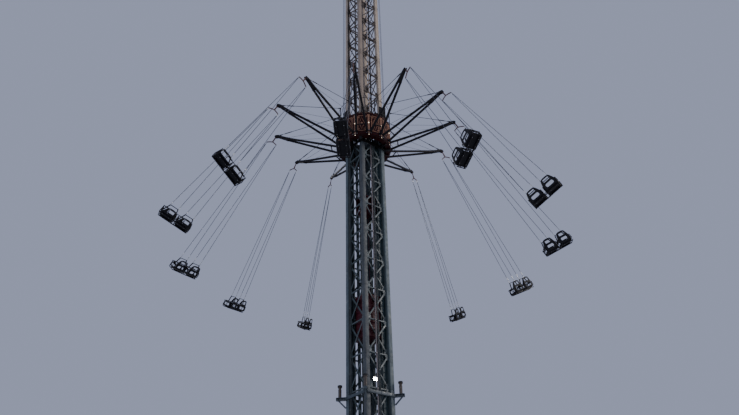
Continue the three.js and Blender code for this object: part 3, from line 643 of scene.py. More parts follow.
def cloud_tree():
    tree, entry, unit = empty_tree("set_on_points", {"Size": "Float", "Seed": "Int"})
    facing = add_node(tree, "GeometryNodeInputNamedAttribute", {"Name": "facing"}, data_type="FLOAT_VECTOR")
    aim = add_node(tree, "FunctionNodeAlignRotationToVector", {"Vector": facing["Attribute"]}, axis="Z")
    values = {"Max": math.tau, "Seed": entry["Seed"]}
    spin = add_node(tree, "FunctionNodeRandomValue", values, data_type="FLOAT")[1]
    chance = add_node(tree, "FunctionNodeAxisAngleToRotation", {"Angle": spin})["Rotation"]
    values = {"Rotation": aim["Rotation"], "Rotate By": chance}
    both = add_node(tree, "FunctionNodeRotateRotation", values, rotation_space="LOCAL")["Rotation"]
    values = {"Points": entry["Geometry"], "Instance": unit, "Rotation": both, "Scale": entry["Size"]}
    return end_tree(tree, entry, values)


LINE = line_tree()
RING = ring_tree()
CLOUD = cloud_tree()
print("trees:", [tree.name for tree in bpy.data.node_groups])

# %% Run a tree and keep the result as a plain mesh
def run_tree(name, tree, material, unit, start=None, **sizes):
    """Evaluates `tree` on a mesh of points and returns an object with the result."""
    holder = link(bpy.data.objects.new(name, start or bpy.data.meshes.new(name + "_points")))
    modifier = holder.modifiers.new("rule", "NODES")
    modifier.node_group = tree
    values = dict(sizes, Unit=unit, Finish=material)
    for item in tree.interface.items_tree:
        if item.item_type == "SOCKET" and item.in_out == "INPUT" and item.name in values:
            modifier[item.identifier] = values[item.name]
    graph = bpy.context.evaluated_depsgraph_get()
    result = bpy.data.meshes.new_from_object(holder.evaluated_get(graph))
    result.name = name
    holder.modifiers.remove(modifier)
    holder.data = result
    bpy.data.objects.remove(unit)
    return holder


def in_a_line(name, unit, count, step):
    return run_tree(name, LINE, unit.data.materials[0], unit, Count=count, Step=(0, 0, step))


def round_the_axis(unit, count=12):
    turn = math.tau / count
    return run_tree(unit.name + "_ring", RING, unit.data.materials[0], unit, Count=count, Turn=turn)


@builds(zinc)
def bolt_head(shape, radius, height):
    """A hexagon head on a washer, standing on Z."""
    tube(shape, (0, 0, -height * 0.3), (0, 0, height * 0.25), radius * 1.45, 10)
    tube(shape, (0, 0, height * 0.2), (0, 0, height), radius, 6, radius * 0.92)


def bolts_at(places, radius, height, material=zinc, seed=7):
    """Bolt heads at pairs of a place and the way it faces, each turned about itself by chance."""
    places = list(places)
    cloud = bpy.data.meshes.new("bolt_places")
    cloud.from_pydata([tuple(place) for place, _ in places], [], [])
    facing = cloud.attributes.new("facing", "FLOAT_VECTOR", "POINT")
    for index, (_, direction) in enumerate(places):
        facing.data[index].vector = direction
    return run_tree("bolts", CLOUD, material, bolt_head(radius, height), start=cloud, Size=1.0, Seed=seed)


def joined(name, things):
    """Joins finished objects into one mesh, each part keeping its own material."""
    meshes = [thing.data for thing in things]
    materials = []
    shape = bmesh.new()
    for mesh in meshes:
        shift = {}
        for index, material in enumerate(mesh.materials):
            if material not in materials:
                materials.append(material)
            shift[index] = materials.index(material)
        before = len(shape.faces)
        shape.from_mesh(mesh)
        shape.faces.ensure_lookup_table()
        for face in shape.faces[before:]:
            face.material_index = shift.get(face.material_index, 0)
    mesh = bpy.data.meshes.new(name)
    shape.to_mesh(mesh)
    shape.free()
    for material in materials:
        mesh.materials.append(material)
    for thing in things:
        bpy.data.objects.remove(thing)
    return link(bpy.data.objects.new(name, mesh))


print("tree runner ready")

# %% [markdown]
# ## The legs
#
# Each leg is a square hollow section that came on a truck in lengths of three panels. They are joined by
# splice plates and bolts, and the carriage's rollers run over them, so the plates are thin and the bolt
# heads low. One length is modelled, with its seam and plates, and a node tree stacks nine of them.

# %% Build one length of leg and stack it
SECTIONS = 9
SECTION = (TOWER_TOP - TOWER_FOOT) / SECTIONS
SEAM_AT = 0.3 * SECTION
SEAM = 0.008
SPLICE_HALF_HEIGHT = 0.2
SPLICE_THICK = 0.006
CORNERS = dict(zip(("front_left", "front_right", "back_right", "back_left"), SIDES))


@builds(leg_light_and_shade_paints["front_left"])
def leg_length(shape):
    half = LEG_SIDE / 2
    middle = Vector((-LEG_CENTRE, -LEG_CENTRE, TOWER_FOOT))
    spot = Matrix.Translation(middle)
    slab(shape, about(0, half), about(0, half), (0.0005, SEAM_AT - SEAM / 2), 0.014, spot)
    slab(shape, about(0, half), about(0, half), (SEAM_AT + SEAM / 2, SECTION - 0.0005), 0.014, spot)
    inset = half - 0.008
    slab(shape, about(0, inset), about(0, inset), (0.01, SECTION - 0.01), 0, spot)
    splice = (-half - SPLICE_THICK, -half + 0.004)
    for turn in (0, -QUARTER):
        face = spot @ turned(turn) @ moved(0, 0, SEAM_AT)
        slab(shape, about(0, 0.075), splice, about(0, SPLICE_HALF_HEIGHT), 0.003, face)


def leg_bolts():
    half = LEG_SIDE / 2 + SPLICE_THICK
    for section in range(SECTIONS):
        seam = TOWER_FOOT + section * SECTION + SEAM_AT
        for row in (-0.16, -0.10, -0.05, 0.05, 0.10, 0.16):
            for across in (-0.045, 0.045):
                yield (-LEG_CENTRE + across, -LEG_CENTRE - half, seam + row), (0, -1, 0)
                yield (-LEG_CENTRE - half, -LEG_CENTRE + across, seam + row), (-1, 0, 0)


leg = in_a_line("leg_stack", leg_length(), SECTIONS, SECTION)
leg = joined("tower_leg_front_left", [leg, bolts_at(leg_bolts(), 0.011, 0.007, dull_zinc)])
for corner, spot in CORNERS.items():
    one = copy_of(leg, "tower_leg_" + corner)
    one.data.transform(spot)
    coats = one.data.materials
    # Each corner gets its own copy of the leg paint, with that corner's painted light and shade.
    coats[coats.find("leg_paint_front_left")] = leg_light_and_shade_paints[corner]
    place_on(one, "tower", "tower_paint", "leg_" + corner)
print("leg faces:", len(leg.data.polygons))

# %% [markdown]
# ## The lattice sides
#
# Every panel of a side is an X of two steel angles and one horizontal. On the real tower one diagonal is
# bolted to the outside of its gussets and the other to the inside, so that they pass each other at the
# crossing, where a short packing piece holds them apart. A flat cut-out plate would look the same from far
# away, but the angle's upturned edge is what catches the light, so the angle is what gets built.

# %% Build one panel of one side
LATTICE_HALF = LEG_CENTRE - LEG_SIDE / 2 - 0.0005
LATTICE_OUT = LEG_CENTRE + 0.030
LATTICE_IN = LEG_CENTRE - 0.030
ANGLE_WIDE = 0.068
ANGLE_DEEP = 0.026
ANGLE_THICK = 0.007


def angle_bar(shape, start, end, outside):
    """A steel angle in the front side's plane; `outside` says on which face of the side its flat lies."""
    start, end = Vector(start), Vector(end)
    along = (end - start).normalized()
    face = -LATTICE_OUT if outside else -LATTICE_IN
    inward = 1 if outside else -1
    wide = Vector((-along.z, 0, along.x))
    flat = Vector((0, face + inward * ANGLE_THICK / 2, 0))
    beam(shape, start + flat, end + flat, ANGLE_WIDE, ANGLE_THICK, wide, 0.0015)
    lift = wide * (ANGLE_WIDE - ANGLE_THICK) / 2 + Vector((0, face + inward * ANGLE_DEEP / 2, 0))
    beam(shape, start + lift, end + lift, ANGLE_THICK, ANGLE_DEEP, wide, 0.0015)


def gusset(shape, side, height, outside):
    face = -(LATTICE_OUT - 0.012) if outside else -(LATTICE_IN + 0.012)
    reach = side * LATTICE_HALF
    up = 1 if height < PANEL / 2 else -1
    outline = [
        (reach, height), (reach, height + up * 0.24), (reach - side * 0.07, height + up * 0.24),
        (reach - side * 0.17, height + up * 0.10), (reach - side * 0.17, height),
    ]
    upright = moved(0, face, TOWER_FOOT) @ UPRIGHT
    plate(shape, outline, 0.008, upright, 0.0015)


@builds(brace_paint)
def lattice_panel(shape):
    low, high = TOWER_FOOT + 0.045, TOWER_FOOT + PANEL - 0.07
    reach = LATTICE_HALF - 0.022
    angle_bar(shape, (-reach, 0, low), (reach, 0, high), True)
    angle_bar(shape, (reach, 0, low), (-reach, 0, high), False)
    for side in (-1, 1):
        gusset(shape, side, 0.0, side < 0)
        gusset(shape, side, PANEL, side > 0)
    top = TOWER_FOOT + PANEL
    slab(shape, about(0, LATTICE_HALF), (-LATTICE_OUT, -LATTICE_IN), (top - 0.055, top - 0.001), 0.006)
    middle = (low + high) / 2
    tube(shape, (0, -LATTICE_OUT + 0.004, middle), (0, -LATTICE_IN - 0.004, middle), 0.019, 12)


def panel_bolts():
    slope = (PANEL - 0.115) / (2 * LATTICE_HALF - 0.044)
    for panel in range(PANELS):
        low = TOWER_FOOT + panel * PANEL + 0.045
        for back in (0.05, 0.10):
            reach = LATTICE_HALF - 0.022 - back
            yield (-reach, -LATTICE_OUT, low + back * slope), (0, -1, 0)
            yield (reach, -LATTICE_OUT, low + PANEL - 0.115 - back * slope), (0, -1, 0)
            yield (reach, -LATTICE_OUT + 0.014, low + back * slope), (0, -1, 0)
            yield (-reach, -LATTICE_OUT + 0.014, low + PANEL - 0.115 - back * slope), (0, -1, 0)


# %% The near-black sheets that close the two far sides low down, as painted shade
WEB_PANELS = 15
WEB_HALF = 0.0035
SHEET_HALF = 0.0018
SHADE_SHEETS = {
    "right": ((-0.495, 0.230), (0.400, 0.495)),
    "back": ((-0.495, -0.050), (0.050, 0.160), (0.340, 0.495)),
}


@builds(web_paint)
def web_panel(shape, ranges):
    """One panel's height of near-black folded sheet, with pressed beads that keep it stiff: painted shade
    on the far sides.
    """
    low, high = TOWER_FOOT + 0.018, TOWER_FOOT + 0.018 + PANEL
    for start, end in ranges:
        slab(shape, (start, end), about(-LEG_CENTRE, SHEET_HALF), (low, high))
        for fold in within(start, end, 0.003):
            slab(shape, about(fold, 0.003), about(-LEG_CENTRE, WEB_HALF), (low, high))
        for bead in range(5):
            height = low + (bead + 0.5) * PANEL / 5
            slab(shape, within(start, end, 0.02), about(-LEG_CENTRE, WEB_HALF), about(height, 0.012), 0.001)


# %% Stack the panels and turn the side about the tower
FACES = dict(zip(("front", "right", "back", "left"), SIDES))


@builds(brace_paint)
def lattice_sole(shape):
    depth = (-LATTICE_OUT, -LATTICE_IN)
    slab(shape, about(0, LATTICE_HALF), depth, (TOWER_FOOT, TOWER_FOOT + 0.03), 0.004)


side = in_a_line("lattice_stack", lattice_panel(), PANELS, PANEL)
bolts = bolts_at(panel_bolts(), 0.010, 0.009, dull_zinc)
side = joined("lattice_side_front", [side, lattice_sole(), bolts])
for face, spot in FACES.items():
    one = copy_of(side, "lattice_side_" + face)
    if face in SHADE_SHEETS:
        web = in_a_line("webs", web_panel(SHADE_SHEETS[face]), WEB_PANELS, PANEL)
        one = joined("lattice_side_" + face, [one, web])
        # The far sides swap in the lighter copy of the brace paint: painted light.
        one.data.materials[one.data.materials.find("brace_paint")] = far_brace_paint
    one.data.transform(spot)
    place_on(one, "tower", "brace_paint", "lattice_" + face)
print("lattice side faces:", len(side.data.polygons))

# %% [markdown]
# ## Face rails and the ladder
#
# Every side carries a channel with power and control cables, held by a strap at each panel. It runs up the
# middle of the front and back and beside a leg on the other two. The front also has two thin pipes outside
# its lattice and, in the lower panels only, a ladder behind it; the left side has a cable tray behind it.
# All are long repeats, so one panel's worth of each is modelled and stacked.

# %% Build the channel, the ladder, the pipes and the tray
rail_low, rail_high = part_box("face_rail_front")
RAIL_HALF = rail_high.x
RAIL_BACK = rail_high.y
RAIL_FRONT = rail_low.y
shifted_low, shifted_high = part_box("face_rail_right")
SIDE_SHIFT = (shifted_low.y + shifted_high.y) / 2
RUNGS = 5


@builds(rail_paint)
def rail_panel(shape):
    top = TOWER_FOOT + PANEL
    slab(shape, about(0, RAIL_HALF), (RAIL_BACK - 0.006, RAIL_BACK), (TOWER_FOOT + 0.001, top))
    for sign in (-1, 1):
        lip = sorted((sign * (RAIL_HALF - 0.005), sign * RAIL_HALF))
        slab(shape, lip, (RAIL_FRONT, RAIL_BACK - 0.004), (TOWER_FOOT + 0.001, top))
    for across, radius, depth in ((-0.012, 0.010, 0.018), (0.011, 0.008, 0.016), (0.001, 0.006, 0.036)):
        centre = RAIL_BACK - depth
        tube(shape, (across, centre, TOWER_FOOT + 0.001), (across, centre, top), radius, 8)
    strap = about(TOWER_FOOT + PANEL / 2, 0.02)
    slab(shape, about(0, RAIL_HALF + 0.006), (RAIL_FRONT - 0.003, RAIL_FRONT + 0.004), strap, 0.002)


@builds(ladder_paint)
def ladder_panel(shape):
    depth = -LATTICE_IN + 0.035
    slab(shape, (0.262, 0.458), (depth + 0.012, depth + 0.015), (TOWER_FOOT + 0.001, TOWER_FOOT + PANEL))
    for across in (0.26, 0.46):
        slab(shape, about(across, 0.006), about(depth, 0.02), (TOWER_FOOT + 0.001, TOWER_FOOT + PANEL))
        height = TOWER_FOOT + PANEL - 0.03
        slab(shape, about(across, 0.02), (-LATTICE_IN, depth), about(height, 0.02), 0.003)
    for rung in range(RUNGS):
        height = TOWER_FOOT + (rung + 0.5) * PANEL / RUNGS
        tube(shape, (0.26, depth - 0.004, height), (0.46, depth - 0.004, height), 0.012, 8)


@builds(conduit_paint)
def conduit_panel(shape):
    """Two pipes side by side on the front lattice, clamped once a panel."""
    depth = -LATTICE_OUT - 0.018
    for across in (-0.128, -0.096):
        tube(shape, (across, depth, TOWER_FOOT + 0.001), (across, depth, TOWER_FOOT + PANEL), 0.0155, 12)
    height = TOWER_FOOT + PANEL - 0.03
    slab(shape, (-0.152, -0.072), (depth - 0.018, -LATTICE_OUT), about(height, 0.02), 0.003)


@builds(web_paint)
def tray_panel(shape):
    """A folded tray behind the left lattice, with slots between its cross bars, in the near-black sheet
    paint that stands for shade.
    """
    depth = -LATTICE_IN + 0.030
    low, high = TOWER_FOOT + 0.001, TOWER_FOOT + PANEL
    for across in (0.235, 0.395):
        slab(shape, about(depth, 0.018), about(across, 0.002), (low, high))
    slab(shape, (depth + 0.014, depth + 0.018), (0.234, 0.396), (low, high))
    for bar in range(4):
        height = low + (bar + 0.5) * PANEL / 4
        slab(shape, about(depth, 0.006), (0.234, 0.396), about(height, 0.015), 0.002)
    slab(shape, (-LATTICE_IN, depth + 0.015), (0.28, 0.35), (high - 0.05, high - 0.01), 0.002)


rail = in_a_line("cable_channel_front", rail_panel(), PANELS, PANEL)
for face, spot in FACES.items():
    one = copy_of(rail, "cable_channel_" + face)
    one.data.transform(spot @ moved(SIDE_SHIFT if face in ("left", "right") else 0, 0, 0))
    place_on(one, "tower", "rail_paint", "face_rail_" + face)
inner_runs = (
    ("inside_ladder", ladder_panel(), WEB_PANELS),
    ("conduits", conduit_panel(), PANELS),
    ("cable_tray", tray_panel(), WEB_PANELS),
)
for name, unit, count in inner_runs:
    place_on(in_a_line(name, unit, count, PANEL), "tower", "brace_paint")
print("rungs:", RUNGS * WEB_PANELS)

# %% [markdown]
# ## The carriage
#
# The carriage is a square sleeve of welded frames that climbs the tower on rollers. It carries a toothed
# slewing ring, the drive motors, four pads that land on the buffers, and on two opposite corners the tall
# anchors of the hoist ropes. Its four sides are alike, so one side is built and turned four times;
# what belongs to the corners, or to two of them only, is added by its own turn.

# %% Sizes of the carriage
carriage_low, carriage_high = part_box("carriage_frame")
SLEEVE_LOW = carriage_low.z
ANCHOR_TOP = carriage_high.z
SLEEVE_OUTER = 0.785
SLEEVE_TOP = 22.70
FLANGE_OUTER = 0.845
DRUM_FOOT = drum_low.z
DRUM_TOP = drum_high.z
RACE_INNER = 1.09
PAD_END = 1.305
CORNER_TURN = math.radians(-135)
ROLLER_HEIGHTS = (SLEEVE_LOW + 0.10, SLEEVE_TOP - 0.16)
ROPES_AT = (1.055, 1.105)


@builds(carriage_paint)
def sleeve_side(shape):
    flange = SLEEVE_TOP - 0.09
    slab(shape, about(0, FLANGE_OUTER), (-FLANGE_OUTER, -0.735), (flange, flange + 0.012), 0.003)
    slab(shape, about(0, FLANGE_OUTER), (-FLANGE_OUTER, -0.735), (SLEEVE_TOP - 0.012, SLEEVE_TOP), 0.003)
    slab(shape, about(0, 0.80), (-0.80, -0.787), within(flange, SLEEVE_TOP, 0.01))
    slab(shape, about(0, SLEEVE_OUTER), (-SLEEVE_OUTER, -0.735), (SLEEVE_LOW, SLEEVE_LOW + 0.18), 0.008)
    for sign in (-1, 1):
        low = (sign * 0.60, -0.762, SLEEVE_LOW + 0.16)
        high = (-sign * 0.60, -0.762 - sign * 0.004, flange)
        beam(shape, low, high, 0.05, 0.02, (1, 0, 0), 0.003)
        post = sorted((sign * 0.60, sign * SLEEVE_OUTER))
        slab(shape, post, (-SLEEVE_OUTER, -0.745), within(SLEEVE_LOW, SLEEVE_TOP, 0.01), 0.006)
        across = sign * 0.42
        near, far = (across, -0.775, SLEEVE_LOW + 0.06), (across * 1.15, -1.14, SLEEVE_LOW + 0.06)
        beam(shape, near, far, 0.06, 0.05, UP, 0.006)
        rib = moved(across * 1.07, 0, 0) @ Matrix.Rotation(QUARTER, 4, "Y") @ turned(QUARTER)
        outline = [(-1.12, SLEEVE_LOW + 0.085), (-0.785, SLEEVE_LOW + 0.085), (-0.785, SLEEVE_LOW + 0.30)]
        plate(shape, outline, 0.010, rib)
        for height in ROLLER_HEIGHTS:
            for cheek in (-0.028, 0.028):
                spot = sign * 0.535 + cheek
                slab(shape, about(spot, 0.004), (-0.80, -0.742), about(height, 0.045), 0.002)


@builds(rubber)
def side_rollers(shape):
    """A wide wheel and a longer axle, each as half its length, its radius and its number of sides."""
    for sign, height in product((-1, 1), ROLLER_HEIGHTS):
        for half, radius, sides in ((0.020, 0.048, 20), (0.034, 0.012, 10)):
            start, end = about(sign * 0.535, half)
            tube(shape, (start, -0.764, height), (end, -0.764, height), radius, sides)


@builds(dark_paint)
def drive_motor(shape):
    foot = DRUM_FOOT + 0.03
    tube(shape, (0, -1.00, foot), (0, -1.00, foot + 0.08), 0.125, 24)
    tube(shape, (0, -1.00, foot + 0.08), (0, -1.00, foot + 0.42), 0.10, 24)
    for fin in range(9):
        height = foot + 0.11 + fin * 0.03
        tube(shape, (0, -1.00, height), (0, -1.00, height + 0.008), 0.115, 24)
    slab(shape, about(0, 0.05), (-1.14, -1.08), (foot + 0.20, foot + 0.30), 0.01)
    slab(shape, about(0, 0.13), (-1.13, -0.77), (SLEEVE_LOW + 0.172, foot + 0.005), 0.004)


# %% The slewing ring and its teeth
@builds(maroon_paint, 25)
def race_ring(shape):
    low, high = DRUM_FOOT - 0.07, DRUM_FOOT - 0.0004
    outline = [
        (RACE_INNER, low), (1.19, low), (1.195, low + 0.008), (1.205, low + 0.008), (1.21, low),
        (1.312, low),
        (1.312, high - 0.012), (1.32, high - 0.006), (1.32, high), (RACE_INNER, high),
    ]
    lathe(shape, outline, 120)


@builds(oiled_steel)
def race_tooth(shape):
    outline = [(1.310, -0.0125), (1.329, -0.006), (1.329, 0.006), (1.310, 0.0125)]
    plate(shape, outline, 0.045, moved(0, 0, DRUM_FOOT - 0.04))


def race_bolts():
    for index, radius in product(range(36), (1.13, 1.27)):
        yield (*on_circle(0, 0, radius, math.tau * index / 36), DRUM_FOOT - 0.07), (0, 0, -1)


TEETH = 144
slewing_ring = [
    race_ring(),
    round_the_axis(race_tooth(), TEETH),
    bolts_at(race_bolts(), 0.013, 0.012, oiled_steel),
]
print("teeth:", TEETH)


# %% Pads, rope anchors, and the whole carriage
@builds(carriage_paint)
def landing_pad(shape):
    """On the diagonal of one corner: the pad that meets a buffer, with two ribs."""
    turn = turned(CORNER_TURN)
    heights = (SLEEVE_LOW + 0.012, SLEEVE_LOW + 0.088)
    slab(shape, (1.02, PAD_END - 0.002), about(0, 0.072), heights, 0.006, turn)
    for across in (-0.06, 0.06):
        rib = turn @ moved(0, across, 0) @ UPRIGHT
        outline = [(1.05, 0.06), (PAD_END - 0.03, 0.06), (1.05, 0.094)]
        plate(shape, [(reach, SLEEVE_LOW + up) for reach, up in outline], 0.010, rib)


@builds(rubber)
def pad_rubber(shape):
    turn = turned(CORNER_TURN)
    middle = turn @ Vector((1.23, 0, SLEEVE_LOW + 0.001))
    tube(shape, middle, middle + UP * 0.016, 0.070, 24)


@builds(carriage_paint)
def rope_anchor(shape):
    """The tall corner on the right, where two hoist ropes end; a second one stands across from it."""
    for flip in (False, True):
        def corner_slab(xs, ys, zs, edge):
            if flip:
                xs, ys = (-ys[1], -ys[0]), (-xs[1], -xs[0])
            slab(shape, xs, ys, zs, edge)
        corner_slab((0.60, 0.785), (-0.785, -0.745), (SLEEVE_TOP - 0.02, ANCHOR_TOP - 0.01), 0.006)
        corner_slab((0.435, 0.79), (-0.79, -0.735), (ANCHOR_TOP - 0.50, ANCHOR_TOP - 0.02), 0.008)
        for height in (ANCHOR_TOP - 0.498, ANCHOR_TOP - 0.014):
            corner_slab((0.43, 0.80), (-0.80, -0.732), (height, height + 0.014), 0.003)
        for across in (0.50, 0.60, 0.70):
            rib = (ANCHOR_TOP - 0.49, ANCHOR_TOP - 0.01)
            corner_slab(about(across, 0.005), (-0.80, -0.785), rib, 0.001)


@builds(zinc)
def rope_sockets(shape):
    out = Vector((1, -1, 0)).normalized()
    for reach in ROPES_AT:
        foot = out * reach
        tube(shape, foot + UP * (ANCHOR_TOP - 0.004), foot + UP * (ANCHOR_TOP + 0.03), 0.022, 14)
        tube(shape, foot + UP * (ANCHOR_TOP + 0.03), foot + UP * (ANCHOR_TOP + 0.15), 0.021, 14, 0.014)


carriage = joined("carriage", [
    round_the_axis(sleeve_side(), 4),
    round_the_axis(side_rollers(), 4),
    round_the_axis(drive_motor(), 4),
    *slewing_ring,
    round_the_axis(landing_pad(), 4),
    round_the_axis(pad_rubber(), 4),
    round_the_axis(rope_anchor(), 2),
    round_the_axis(rope_sockets(), 2),
])
place_on(carriage, "carriage", "carriage_paint", "carriage_frame")
print("carriage faces:", len(carriage.data.polygons))

# %% [markdown]
# ## The drum
#
# The drum is the part that is meant to be looked at: a maroon cylinder between two mouldings, with a
# carved-looking panel behind every arm, a pilaster between panels, a row of beads and a few warm lamps. On
# a real ride the ornament is moulded and screwed on. Here it is bent bar in low relief, laid on the
# cylinder by a function that turns a flat place into one on the curve, and one twelfth is turned round.

# %% The cylinder with its mouldings
WALL = DRUM_RADIUS - 0.030


@builds(maroon_paint, 28)
def drum_shell(shape):
    foot, top = DRUM_FOOT, DRUM_TOP
    outer = DRUM_RADIUS - 0.002
    outline = [
        (1.245, foot), (outer - 0.006, foot), (outer, foot + 0.008), (outer, foot + 0.035),
        (outer - 0.006, foot + 0.043),
        (WALL + 0.012, foot + 0.050), (WALL + 0.004, foot + 0.062), (WALL, foot + 0.085),
        (WALL, top - 0.135),
        (WALL + 0.004, top - 0.115), (WALL + 0.014, top - 0.100), (WALL + 0.020, top - 0.095),
        (outer, top - 0.080),
        (outer, top - 0.010), (outer - 0.010, top), (1.272, top), (1.272, top - 0.030),
        (WALL - 0.018, top - 0.036),
        (WALL - 0.022, top - 0.060), (WALL - 0.022, foot + 0.092), (1.245, foot + 0.086),
    ]
    lathe(shape, outline, 144)


def on_drum(across, height, lift=0.0):
    angle = across / WALL
    radius = WALL + lift
    return Vector((radius * math.cos(angle), radius * math.sin(angle), height))


def turn_to_first_arm(shape):
    bmesh.ops.transform(shape, matrix=turned(FIRST_ANGLE), verts=shape.verts)


def ball(shape, place, radius):
    bmesh.ops.create_icosphere(shape, subdivisions=2, radius=radius, matrix=place)


# %% One panel of ornament
PANEL_HALF = 0.205
PANEL_LOW = DRUM_FOOT + 0.235
PANEL_HIGH = DRUM_TOP - 0.185
PANEL_MIDDLE = (PANEL_LOW + PANEL_HIGH) / 2


def frame_line(half, low, high, cut):
    """A rectangle with scooped corners, as places across and up the drum."""
    line = []
    corners = [(half, low), (half, high), (-half, high), (-half, low)]
    for quarter, (across, height) in enumerate(corners):
        for step in range(5):
            line.append(on_circle(across, height, cut, math.radians(180 - 22.5 * step + 90 * quarter)))
    return line


def bar_on_drum(shape, line, lift, radius, sides=8, closed=True):
    """A bent bar laid on the cylinder along a line of places across and up."""
    bent_tube(shape, [on_drum(across, height, lift) for across, height in line], radius, sides, closed)


def scroll_line(across, height, size, mirror, upward):
    line = []
    for step in range(19):
        part = step / 18
        angle = math.radians(-100 + 400 * part)
        radius = size * (1 - 0.78 * part)
        drift = size * 0.55 * (1 - part)
        out = across + mirror * (radius * math.cos(angle) - drift)
        line.append((out, height + upward * radius * math.sin(angle)))
    return line


@builds(beige_paint)
def ornament_panel(shape):
    bar_on_drum(shape, frame_line(PANEL_HALF, PANEL_LOW, PANEL_HIGH, 0.045), 0.008, 0.012)
    inner = frame_line(PANEL_HALF - 0.032, PANEL_LOW + 0.032, PANEL_HIGH - 0.032, 0.035)
    bar_on_drum(shape, inner, 0.004, 0.006, 6)
    reach, rise = PANEL_HALF - 0.075, (PANEL_HIGH - PANEL_LOW) / 2 - 0.10
    lozenge = [(reach, 0), (reach / 2, rise / 2), (0, rise), (-reach / 2, rise / 2),
               (-reach, 0), (-reach / 2, -rise / 2), (0, -rise), (reach / 2, -rise / 2)]
    bar_on_drum(shape, [(across, PANEL_MIDDLE + up) for across, up in lozenge], 0.005, 0.010)
    for mirror, upward in product((-1, 1), repeat=2):
        spot = (mirror * (PANEL_HALF - 0.065), PANEL_MIDDLE + upward * (rise - 0.015))
        bar_on_drum(shape, scroll_line(*spot, 0.052, mirror, upward), 0.006, 0.0075, 6, False)
    centre = on_drum(0, PANEL_MIDDLE)
    tube(shape, centre - Vector((0.004, 0, 0)), centre + Vector((0.016, 0, 0)), 0.045, 20, 0.032)
    for petal in range(8):
        angle = math.tau * petal / 8
        tip = on_drum(*on_circle(0, PANEL_MIDDLE, 0.078, angle), 0.004)
        root = on_drum(*on_circle(0, PANEL_MIDDLE, 0.030, angle), 0.008)
        tube(shape, root, tip, 0.013, 8, 0.004)
    turn_to_first_arm(shape)


# %% Pilasters, beads and lamps
@builds(beige_paint)
def pilaster(shape):
    half_turn = turned(TURN / 2)
    low, high = DRUM_FOOT + 0.09, DRUM_TOP - 0.12
    slab(shape, (WALL - 0.006, WALL + 0.012), about(0, 0.045), (low, high), 0.004, half_turn)
    slab(shape, (WALL - 0.006, WALL + 0.018), about(0, 0.062), (low, low + 0.07), 0.005, half_turn)
    slab(shape, (WALL - 0.006, WALL + 0.018), about(0, 0.062), (high - 0.06, high), 0.005, half_turn)
    for across in (-0.022, 0.0, 0.022):
        foot = half_turn @ Vector((WALL + 0.012, across, low + 0.08))
        head = half_turn @ Vector((WALL + 0.012, across, high - 0.07))
        tube(shape, foot, head, 0.006, 8)
    for mirror in (-1, 1):
        line = scroll_line(mirror * 0.085, high - 0.10, 0.040, -mirror, 1)
        bent_tube(shape, [half_turn @ on_drum(across, height, 0.005) for across, height in line], 0.007, 6)
    turn_to_first_arm(shape)


@builds(beige_paint)
def bead(shape):
    ball(shape, moved(DRUM_RADIUS - 0.004, 0, DRUM_TOP - 0.045), 0.0115)


@builds(bulb_glass)
def drum_bulbs(shape):
    """A warm bulb in the middle of each pilaster, and one on the underside below it."""
    half_turn = turned(TURN / 2)
    ball(shape, half_turn @ moved(WALL + 0.020, 0, (DRUM_FOOT + DRUM_TOP) / 2 + 0.035), 0.026)
    ball(shape, half_turn @ moved(DRUM_RADIUS - 0.035, 0, DRUM_FOOT), 0.020)
    turn_to_first_arm(shape)


@builds(maroon_paint)
def floor_rib(shape):
    low = DRUM_FOOT + 0.08
    outline = [(1.26, low), (WALL - 0.02, low), (WALL - 0.02, low + 0.20)]
    plate(shape, outline, 0.010, UPRIGHT)
    turn_to_first_arm(shape)


BEADS = 96
FLOOR_RIBS = 24
drum = joined("drum_dressed", [
    drum_shell(),
    round_the_axis(ornament_panel()),
    round_the_axis(pilaster()),
    round_the_axis(bead(), BEADS),
    round_the_axis(drum_bulbs()),
    round_the_axis(floor_rib(), FLOOR_RIBS),
])
place_on(drum, "rotor", "drum_paint", "drum")
print("drum faces:", len(drum.data.polygons))

# %% [markdown]
# ## Posts and hoop for the stays
#
# Twelve slim posts stand on the drum's rim and hold the upper ends of the stays; a thin hoop ties their
# heads together. Each has a foot plate with four bolts and a lug that the stay's fork grips.

# %% Build one post and turn it round
RING_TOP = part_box("stay_ring")[1].z
HOOP_RADIUS = 0.011
HOOP_AT = 1.325
POST_HALF = 0.020


@builds(dark_paint)
def stay_post(shape):
    head = RING_TOP
    foot = (DRUM_TOP + 0.0004, DRUM_TOP + 0.012)
    slab(shape, (HOOP_AT - 0.080, HOOP_AT + 0.024), about(0, 0.055), foot, 0.002)
    slab(shape, about(HOOP_AT, POST_HALF), about(0, POST_HALF), (DRUM_TOP + 0.010, head - 0.008), 0.005)
    slab(shape, about(HOOP_AT, 0.022), about(0, 0.022), (head - 0.012, head - 0.002), 0.002)
    lug = [(0.015, -0.045), (0.040, -0.022), (0.040, -0.004), (0.015, 0.010)]
    plate(shape, [(HOOP_AT + x, head - 0.012 + z) for x, z in lug], 0.012, UPRIGHT)
    for sign in (-1, 1):
        rib = moved(HOOP_AT, 0, 0) @ turned(sign * QUARTER) @ UPRIGHT
        outline = [(0.018, DRUM_TOP + 0.010), (0.050, DRUM_TOP + 0.010), (0.018, DRUM_TOP + 0.10)]
        plate(shape, outline, 0.006, rib)
    turn_to_first_arm(shape)


@builds(dark_paint)
def hoop(shape):
    height = RING_TOP - 0.012
    line = [(*on_circle(0, 0, HOOP_AT, math.tau * step / 96), height) for step in range(96)]
    bent_tube(shape, line, HOOP_RADIUS, 8, True)


def post_bolts():
    for arm in range(len(ARM_NUMBERS)):
        turn = turned(FIRST_ANGLE + arm * TURN)
        for out, across in product((-0.062, 0.012), (-0.042, 0.042)):
            yield turn @ Vector((HOOP_AT + out, across, DRUM_TOP + 0.012)), (0, 0, 1)


posts = joined("stay_posts", [
    round_the_axis(stay_post()),
    hoop(),
    bolts_at(post_bolts(), 0.007, 0.008),
])
place_on(posts, "rotor", "arm_paint", "stay_ring")
print("post faces:", len(posts.data.polygons))

